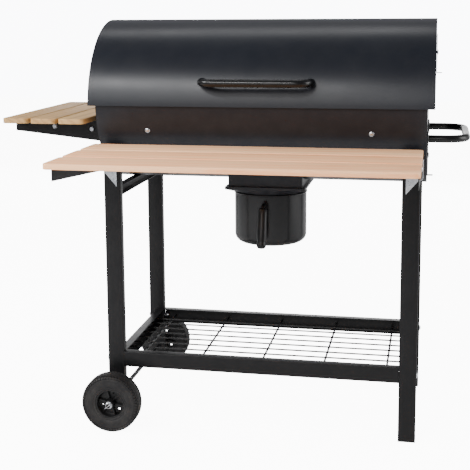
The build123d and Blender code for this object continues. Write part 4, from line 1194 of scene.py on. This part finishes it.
@dataclass
class Stand:
    """The steel stand: four legs, the rails and beams between them, and their bolts."""

    shop: Workshop
    tube_corner: float = 2.2 * MM
    sheet: float = 1.5 * MM
    fold: float = 1.4 * MM
    mouth_depth: float = 14.0 * MM
    cap_sole: float = 3.0 * MM
    cap_ease: float = 0.9 * MM
    bolt_grip: float = 50.0 * MM
    beam_nut: float = 41.3 * MM
    arm_bolt_z: float = 625.0 * MM

    def build(self) -> None:
        """Builds the stand's pieces."""
        for node in LEGS:
            self.build_leg(node)
        for node in ("upper_rail_left", "upper_rail_right", "lower_rail_left", "lower_rail_right"):
            self.build_channel(node, RIGHT if node.endswith("left") else LEFT, REAR)
        self.build_channel("shelf_beam_front", REAR, RIGHT)
        self.build_channel("shelf_beam_rear", FRONT, RIGHT)
        self.build_caps()
        self.build_bolts()

    def build_leg(self, node: str) -> None:
        """Builds a leg: a squared tube with an open top.

        Args:
            node: The CAD node that it stands for.
        """
        box = span(node)
        leg = Workpiece(f"{node}_tube")
        leg.bar(box.low, box.high, self.tube_corner, along=UP)
        top = [face for face in leg.mesh.faces if face.normal.z > 0.99]
        bmesh.ops.inset_region(leg.mesh, faces=top, thickness=self.sheet)
        mouth = bmesh.ops.extrude_face_region(leg.mesh, geom=top)["geom"]
        bmesh.ops.delete(leg.mesh, geom=top, context="FACES_ONLY")
        bmesh.ops.translate(leg.mesh, vec=DOWN * self.mouth_depth, verts=points_of(mouth))
        self.shop.fit(leg, Body.FRAME, Slot.FRAME_PAINT, [node])

    def build_channel(self, node: str, lips: Vector, along: Vector) -> None:
        """Builds a channel with its web outside.

        Args:
            node: The CAD node that it stands for.
            lips: The way that its lips point from the web.
            along: The way that it runs.
        """
        box, sheet = span(node), self.sheet
        length, depth, height = abs(box.size.dot(along)), abs(box.size.dot(lips)), box.size.z
        corner = box.middle - (along * length + lips * depth + UP * height) / 2.0
        top = height - sheet
        outline = [(0.0, 0.0), (depth, 0.0), (depth, sheet), (sheet, sheet)]
        outline += [(sheet, top), (depth, top), (depth, height), (0.0, height)]
        rail = Workpiece(f"{node}_channel")
        rail.plate([corner + lips * away + UP * up for away, up in outline], along * length)
        folds = [
            edge
            for edge in rail.mesh.edges
            if runs_along(edge, along)
            and abs((edge.verts[0].co - corner).dot(lips)) < 0.1 * sheet
        ]
        rail.ease(folds, self.fold)
        self.shop.fit(rail, Body.FRAME, Slot.FRAME_PAINT, [node])

    def build_caps(self) -> None:
        """Builds the plastic caps under the four legs."""
        caps = Workpiece("foot_caps")
        for node in LEGS:
            box = span(node)
            top = Vector((box.high.x, box.high.y, box.low.z))
            caps.bar(box.low + DOWN * self.cap_sole, top, self.cap_ease)
        self.shop.fit(caps, Body.FRAME, Slot.GRIP_PLASTIC, ["leg_caps"])

    def build_bolts(self) -> None:
        """Adds the bolts through the legs that hold the shelf beams and the front arms."""
        beam_z = span("shelf_beam_front").middle.z
        bolts = Workpiece("leg_bolts")
        for node in LEGS:
            box = span(node)
            out = LEFT if node.endswith("left") else RIGHT
            face_x = box.low.x if node.endswith("left") else box.high.x
            seat = Vector((face_x, box.middle.y, beam_z))
            Bolt(seat, out, grip=self.bolt_grip, nut_at=self.beam_nut).add_to(bolts)
            if "front" in node:
                seat = Vector((face_x, box.middle.y, self.arm_bolt_z)) + out * self.sheet
                Bolt(seat, out, grip=self.bolt_grip, nut_at=self.beam_nut).add_to(bolts)
        self.shop.fit(bolts, Body.FRAME, Slot.ZINC, ["frame_bolts"])


@dataclass
class WireShelf:
    """The wire shelf between the lower beams."""

    shop: Workshop
    wire: float = 2.0 * MM
    cross: float = 2.5 * MM
    wire_pitch: float = 38.2 * MM
    wire_count: int = 8
    cross_pitch: float = 145.6 * MM
    cross_count: int = 5

    def build(self) -> None:
        """Builds the long wires on top and the cross wires under them."""
        box, shelf = span("wire_shelf"), Workpiece("wire_shelf_mat")
        for number in range(self.wire_count):
            y = box.middle.y + (number - (self.wire_count - 1) / 2.0) * self.wire_pitch
            z = box.high.z - self.wire
            shelf.rod(Vector((box.low.x, y, z)), Vector((box.high.x, y, z)), self.wire, sides=14)
        for number in range(self.cross_count):
            x = box.middle.x + (number - (self.cross_count - 1) / 2.0) * self.cross_pitch
            z = box.low.z + self.cross
            shelf.rod(Vector((x, box.low.y, z)), Vector((x, box.high.y, z)), self.cross, sides=14)
        self.shop.fit(shelf, Body.FRAME, Slot.SHELF_WIRE, ["wire_shelf"])


@dataclass
class Wheels:
    """The two wheels on their axle."""

    shop: Workshop
    inner: float = 34.0 * MM
    lugs: int = 60
    lug_rows: tuple[float, float] = (0.66, 0.9)
    lug_lean: tuple[float, float] = (14.0, 46.0)
    lug_sink: tuple[float, float] = (0.5 * MM, 3.6 * MM)
    lug_height: float = 1.8 * MM
    lug_length: float = 4.6 * MM
    lug_width: float = 5.2 * MM
    web: float = 5.0 * MM
    rim_half: float = 17.0 * MM
    hub_radius: float = 9.5 * MM
    hub_half: float = 23.0 * MM
    bead: Profile = (
        ((0.0, 0.8), (1.5, 0.9), (3.5, 0.93), (5.0, 0.9), (7.0, 0.95))
        + ((9.0, 1.0), (16.0, 1.0), (20.0, 0.97), (21.0, 0.99))
    )
    shoulder: Profile = ((10.0, 0.97), (6.0, 0.88), (2.4, 0.68), (1.2, 0.4), (0.3, 0.24))
    bore: float = 5.1 * MM
    ribs: int = 6
    rib_width: float = 3.4 * MM
    rib_half: float = 9.0 * MM
    hole: float = 3.2 * MM
    holes: int = 3
    hole_circle: float = 24.0 * MM
    first_hole: float = math.radians(12.0)
    nut_flats: float = 7.2 * MM
    washer: float = 8.0 * MM
    nut_depth: float = 6.0 * MM
    pin: float = 1.0 * MM
    pin_half: float = 9.0 * MM
    pin_out: float = 2.4 * MM
    axle_chamfer: float = 1.2 * MM

    def build(self) -> None:
        """Builds both wheels, the axle and its nuts."""
        for name, body in (("front", Body.WHEEL_FRONT), ("rear", Body.WHEEL_REAR)):
            box = span(f"tyre_{name}")
            self.build_tyre(name, body, box)
            self.build_rim(name, body, box.middle)
        self.build_axle()

    def build_tyre(self, name: str, body: Body, box: Span) -> None:
        """Turns a tyre and sets its shoulder lugs.

        Args:
            name: Which wheel it is on.
            body: The body that it moves with.
            box: Where it lies.
        """
        radius, half, inner = box.size.z / 2.0, box.size.y / 2.0, self.inner
        side = [(inner + MM * away, share) for away, share in self.bead]
        side += [(radius - MM * away, share) for away, share in self.shoulder]
        near = [(away, share * half) for away, share in side]
        far = [(away, -share * half) for away, share in reversed(side)]
        tyre = Workpiece(f"tyre_{name}_rubber")
        tyre.lathe(near + [(radius, 0.0)] + far, box.middle, REAR, steps=120, ring=True)
        lug = Vector((self.lug_length, self.lug_width, 2.0 * self.lug_height))
        for number in range(self.lugs):
            for row, share in enumerate(self.lug_rows):
                turn = Matrix.Rotation(FULL_TURN * (number + 0.5 * row) / self.lugs, 4, "Y")
                for edge in (-1.0, 1.0):
                    lean = Matrix.Rotation(-edge * math.radians(self.lug_lean[row]), 4, "X")
                    rise = radius - self.lug_sink[row] - self.lug_height
                    spot = Vector((0.0, edge * share * half, rise))
                    place = Matrix.Translation(box.middle) @ turn @ Matrix.Translation(spot) @ lean
                    self.add_block(tyre, lug, place)
        self.shop.fit(tyre, body, Slot.TYRE, [f"tyre_{name}"], sharp=40.0)

    @staticmethod
    def add_block(piece: Workpiece, size: Vector, place: Matrix) -> list[bmesh.types.BMVert]:
        """Adds a block of a size at a place and gives its vertices."""
        points = bmesh.ops.create_cube(piece.mesh, size=1.0)["verts"]
        bmesh.ops.scale(piece.mesh, vec=size, verts=points)
        bmesh.ops.transform(piece.mesh, matrix=place, verts=points)
        return points

    def build_rim(self, name: str, body: Body, centre: Vector) -> None:
        """Turns a rim and cuts its pockets.

        Args:
            name: Which wheel it is on.
            body: The body that it moves with.
            centre: The wheel's middle.
        """
        inner, half, web, hub = self.inner, self.rim_half, self.web / 2.0, self.hub_radius
        side = [
            (self.bore, self.hub_half),
            (hub - 1.5 * MM, self.hub_half),
            (hub, self.hub_half - 1.5 * MM),
            (hub + 0.5 * MM, web + 2.0 * MM),
            (hub + 2.0 * MM, web),
            (inner - 6.0 * MM, web),
            (inner - 4.0 * MM, web + 2.0 * MM),
            (inner - 3.4 * MM, half - 1.0 * MM),
            (inner - 2.6 * MM, half),
            (inner, half),
        ]
        profile = side + [(away, -along) for away, along in reversed(side)]
        rim = Workpiece(f"wheel_{name}_rim")
        rim.lathe(profile, centre, REAR, steps=80, ring=True)
        tool = Workpiece("rim_hole_tool")
        for number in range(self.holes):
            turn = Matrix.Rotation(self.first_hole + FULL_TURN * number / self.holes, 4, "Y")
            spot = centre + turn @ (UP * self.hole_circle)
            tool.rod(spot + FRONT * half, spot + REAR * half, self.hole, sides=20)
        rim.cut(tool)
        length = inner - hub - 4.0 * MM
        size = Vector((self.rib_width, 2.0 * self.rib_half, length))
        lift = Matrix.Translation(UP * (hub + length / 2.0 + 0.5 * MM))
        for number in range(self.ribs):
            turn = Matrix.Rotation(self.first_hole + FULL_TURN * (number + 0.5) / self.ribs, 4, "Y")
            points = self.add_block(rim, size, Matrix.Translation(centre) @ turn @ lift)
            rim.ease({link for point in points for link in point.link_edges}, 0.8 * MM, segments=2)
        self.shop.fit(rim, body, Slot.RIM_PLASTIC, [f"wheel_rim_{name}"], sharp=40.0)

    def build_axle(self) -> None:
        """Builds the axle and the end nuts with their split pins."""
        box = span("axle")
        radius, chamfer = box.size.x / 2.0, self.axle_chamfer
        ends = ((0.0, 0.0), (radius - chamfer, 0.0), (radius, chamfer))
        back = [(away, box.size.y - along) for away, along in reversed(ends)]
        axle = Workpiece("axle_rod")
        start = Vector((box.middle.x, box.low.y, box.middle.z))
        axle.lathe([*ends, *back], start, REAR, steps=32)
        self.shop.fit(axle, Body.FRAME, Slot.FRAME_PAINT, ["axle"])
        self.build_nuts(box)

    def build_nuts(self, axle: Span) -> None:
        """Builds the washer, nut and split pin at each end of the axle."""
        nuts, box = Workpiece("axle_nuts"), span("hub_nuts")
        depth, outer, washer = self.nut_depth, self.nut_flats, self.washer
        shape = [(self.bore, 0.0), (washer, 0.0), (washer, 1.4 * MM), (outer, 1.5 * MM)]
        shape += [(outer, depth - 1.0 * MM), (outer - 1.0 * MM, depth), (self.bore, depth)]
        cross = (RIGHT + UP * 0.8).normalized() * self.pin_half
        for out, face_y in ((FRONT, box.low.y), (REAR, box.high.y)):
            face = Vector((axle.middle.x, face_y, axle.middle.z))
            nuts.lathe(shape, face - out * depth, out, steps=48, ring=True)
            pin = face + out * self.pin_out
            nuts.rod(pin - cross, pin + cross, self.pin, sides=10)
        self.shop.fit(nuts, Body.FRAME, Slot.ZINC, ["hub_nuts"])


@dataclass
class Boards:
    """A table of wooden boards with eased edges."""

    shop: Workshop
    prefix: str
    slot: Slot
    count: int = 3
    corner: float = 11.0 * MM
    edge: float = 1.3 * MM

    def build(self) -> None:
        """Builds the table's boards."""
        for number in range(1, self.count + 1):
            node = f"{self.prefix}_{number}"
            box = span(node)
            board = Workpiece(f"{node}_wood")
            board.bar(box.low, box.high, self.corner, along=UP)
            board.ease([edge for edge in board.mesh.edges if not runs_along(edge, UP)], self.edge)
            item = self.shop.fit(board, Body.FRAME, self.slot, [node], sharp=50.0)
            mark = item.data.attributes.new("board", "FLOAT", "POINT")
            mark.data.foreach_set("value", [float(number)] * len(item.data.vertices))


# ------------------------------------------------------------------ the studio
@dataclass(frozen=True)
class Softbox:
    """One soft light: where it hangs, what it points at, its width and height, and its watts."""

    name: str
    place: tuple[float, float, float]
    aim: tuple[float, float, float]
    size: tuple[float, float]
    power: float

    def hang(self) -> None:
        """Puts the light in the scene, out of the camera's own sight."""
        lamp = bpy.data.lights.new(self.name, "AREA")
        lamp.shape, lamp.energy = "RECTANGLE", self.power
        lamp.size, lamp.size_y = self.size
        item = bpy.data.objects.new(self.name, lamp)
        item.location = self.place
        way = Vector(self.aim) - Vector(self.place)
        item.rotation_euler = way.to_track_quat("-Z", "Y").to_euler()
        item.visible_camera = False
        bpy.context.scene.collection.objects.link(item)


SOFTBOXES = (
    Softbox("front_strip", (-1.3, -2.5, 2.45), (-0.1, 0.0, 0.8), (2.6, 0.26), 104.0),
    Softbox("front_panel", (-0.8, -3.3, 1.75), (0.0, 0.0, 0.6), (3.0, 1.0), 48.0),
    Softbox("top_softbox", (-0.3, 0.9, 2.6), (-0.1, -0.2, 0.6), (1.6, 0.4), 8.0),
    Softbox("back_panel", (0.2, 3.6, 0.9), (0.0, 0.0, 0.7), (6.0, 1.1), 56.0),
    Softbox("left_panel", (-2.6, -0.9, 2.0), (0.0, -0.35, 0.67), (0.8, 0.8), 64.0),
    Softbox("right_panel", (3.2, 0.2, 1.3), (0.3, 0.0, 0.5), (1.8, 2.2), 74.0),
)


@dataclass
class Studio:
    """The floor, the soft lights and the camera."""

    floor_half: float = 9.0
    floor_colour: Colour = (0.93, 0.93, 0.93, 1.0)
    floor_glow: float = 11.0
    sky_colour: Colour = (0.95, 0.96, 1.0, 1.0)
    sky_fill: float = 0.38
    sky_seen: float = 11.0
    camera_place: tuple[float, float, float] = (0.45064, -2.25633, 0.96151)
    yaw: float = 0.1931
    pitch: float = 0.1481
    roll: float = -0.006
    lens: float = 77.24
    shift: tuple[float, float] = (-0.0093, -0.15)

    def build(self) -> None:
        """Sets up the floor, the sky, the lights and the camera."""
        self.build_floor()
        self.build_sky()
        for softbox in SOFTBOXES:
            softbox.hang()
        self.add_camera()

    def build_floor(self) -> None:
        """Lays the pale floor, which looks a little brighter than it is lit."""
        floor = Workpiece("floor")
        bmesh.ops.create_grid(floor.mesh, x_segments=1, y_segments=1, size=self.floor_half)
        item = floor._as_object()
        floor.mesh.free()
        material = bpy.data.materials.new("studio_floor")
        material.use_nodes = True
        net, nodes = Net(material.node_tree), material.node_tree.nodes
        shader = nodes["Principled BSDF"]
        shader.inputs["Base Color"].default_value = self.floor_colour
        shader.inputs["Roughness"].default_value = 0.9
        seen = net.add("ShaderNodeLightPath").outputs["Is Camera Ray"]
        glow = {"Color": self.floor_colour, "Strength": net.times(seen, self.floor_glow)}
        shine = net.add("ShaderNodeEmission", glow).outputs[0]
        both = net.add("ShaderNodeAddShader", {0: shader.outputs[0], 1: shine})
        net.feed(nodes["Material Output"], {"Surface": both.outputs[0]})
        item.data.materials.append(material)

    def build_sky(self) -> None:
        """Fills the studio evenly, with a pale backdrop behind the grill."""
        world = bpy.data.worlds.new("studio")
        world.use_nodes = True
        net = Net(world.node_tree)
        backdrop = world.node_tree.nodes["Background"]
        backdrop.inputs["Color"].default_value = self.sky_colour
        seen = net.add("ShaderNodeLightPath").outputs["Is Camera Ray"]
        limits = {"Value": seen, "To Min": self.sky_fill, "To Max": self.sky_seen}
        net.feed(backdrop, {"Strength": net.add("ShaderNodeMapRange", limits).outputs[0]})
        bpy.context.scene.world = world

    def add_camera(self) -> None:
        """Sets up the camera."""
        camera = bpy.data.cameras.new("camera")
        camera.lens, camera.sensor_width = self.lens, 36.0
        camera.shift_x, camera.shift_y = self.shift
        camera.clip_end = 60.0
        item = bpy.data.objects.new("camera", camera)
        level = math.cos(self.pitch)
        cosine, sine = math.cos(self.yaw), math.sin(self.yaw)
        ahead = Vector((-sine * level, cosine * level, -math.sin(self.pitch)))
        right = Vector((cosine, sine, 0.0))
        up = right.cross(ahead)
        rolled_right = math.cos(self.roll) * right + math.sin(self.roll) * up
        rolled_up = math.cos(self.roll) * up - math.sin(self.roll) * right
        axes = Matrix((rolled_right, rolled_up, -ahead)).transposed()
        item.matrix_world = Matrix.Translation(Vector(self.camera_place)) @ axes.to_4x4()
        bpy.context.scene.collection.objects.link(item)
        bpy.context.scene.camera = item


def main() -> None:
    """Builds every assembly, dresses the rest of the frame and sets up the studio."""
    logging.basicConfig(level=logging.INFO, format="%(name)s: %(message)s")
    paintshop = Paintshop()
    shop = Workshop(paintshop)
    barrel = Barrel()
    Lid(shop, barrel).build()
    Bowl(shop, barrel).build()
    Grates(shop).build()
    AshBucket(shop).build()
    PushHandle(shop).build()
    Stand(shop).build()
    WireShelf(shop).build()
    Wheels(shop).build()
    Boards(shop, "front_board", Slot.FRONT_WOOD).build()
    Boards(shop, "side_board", Slot.SIDE_WOOD).build()
    paintshop.dress_cad_nodes(shop.covered)
    Studio().build()


if __name__ == "__main__":
    main()
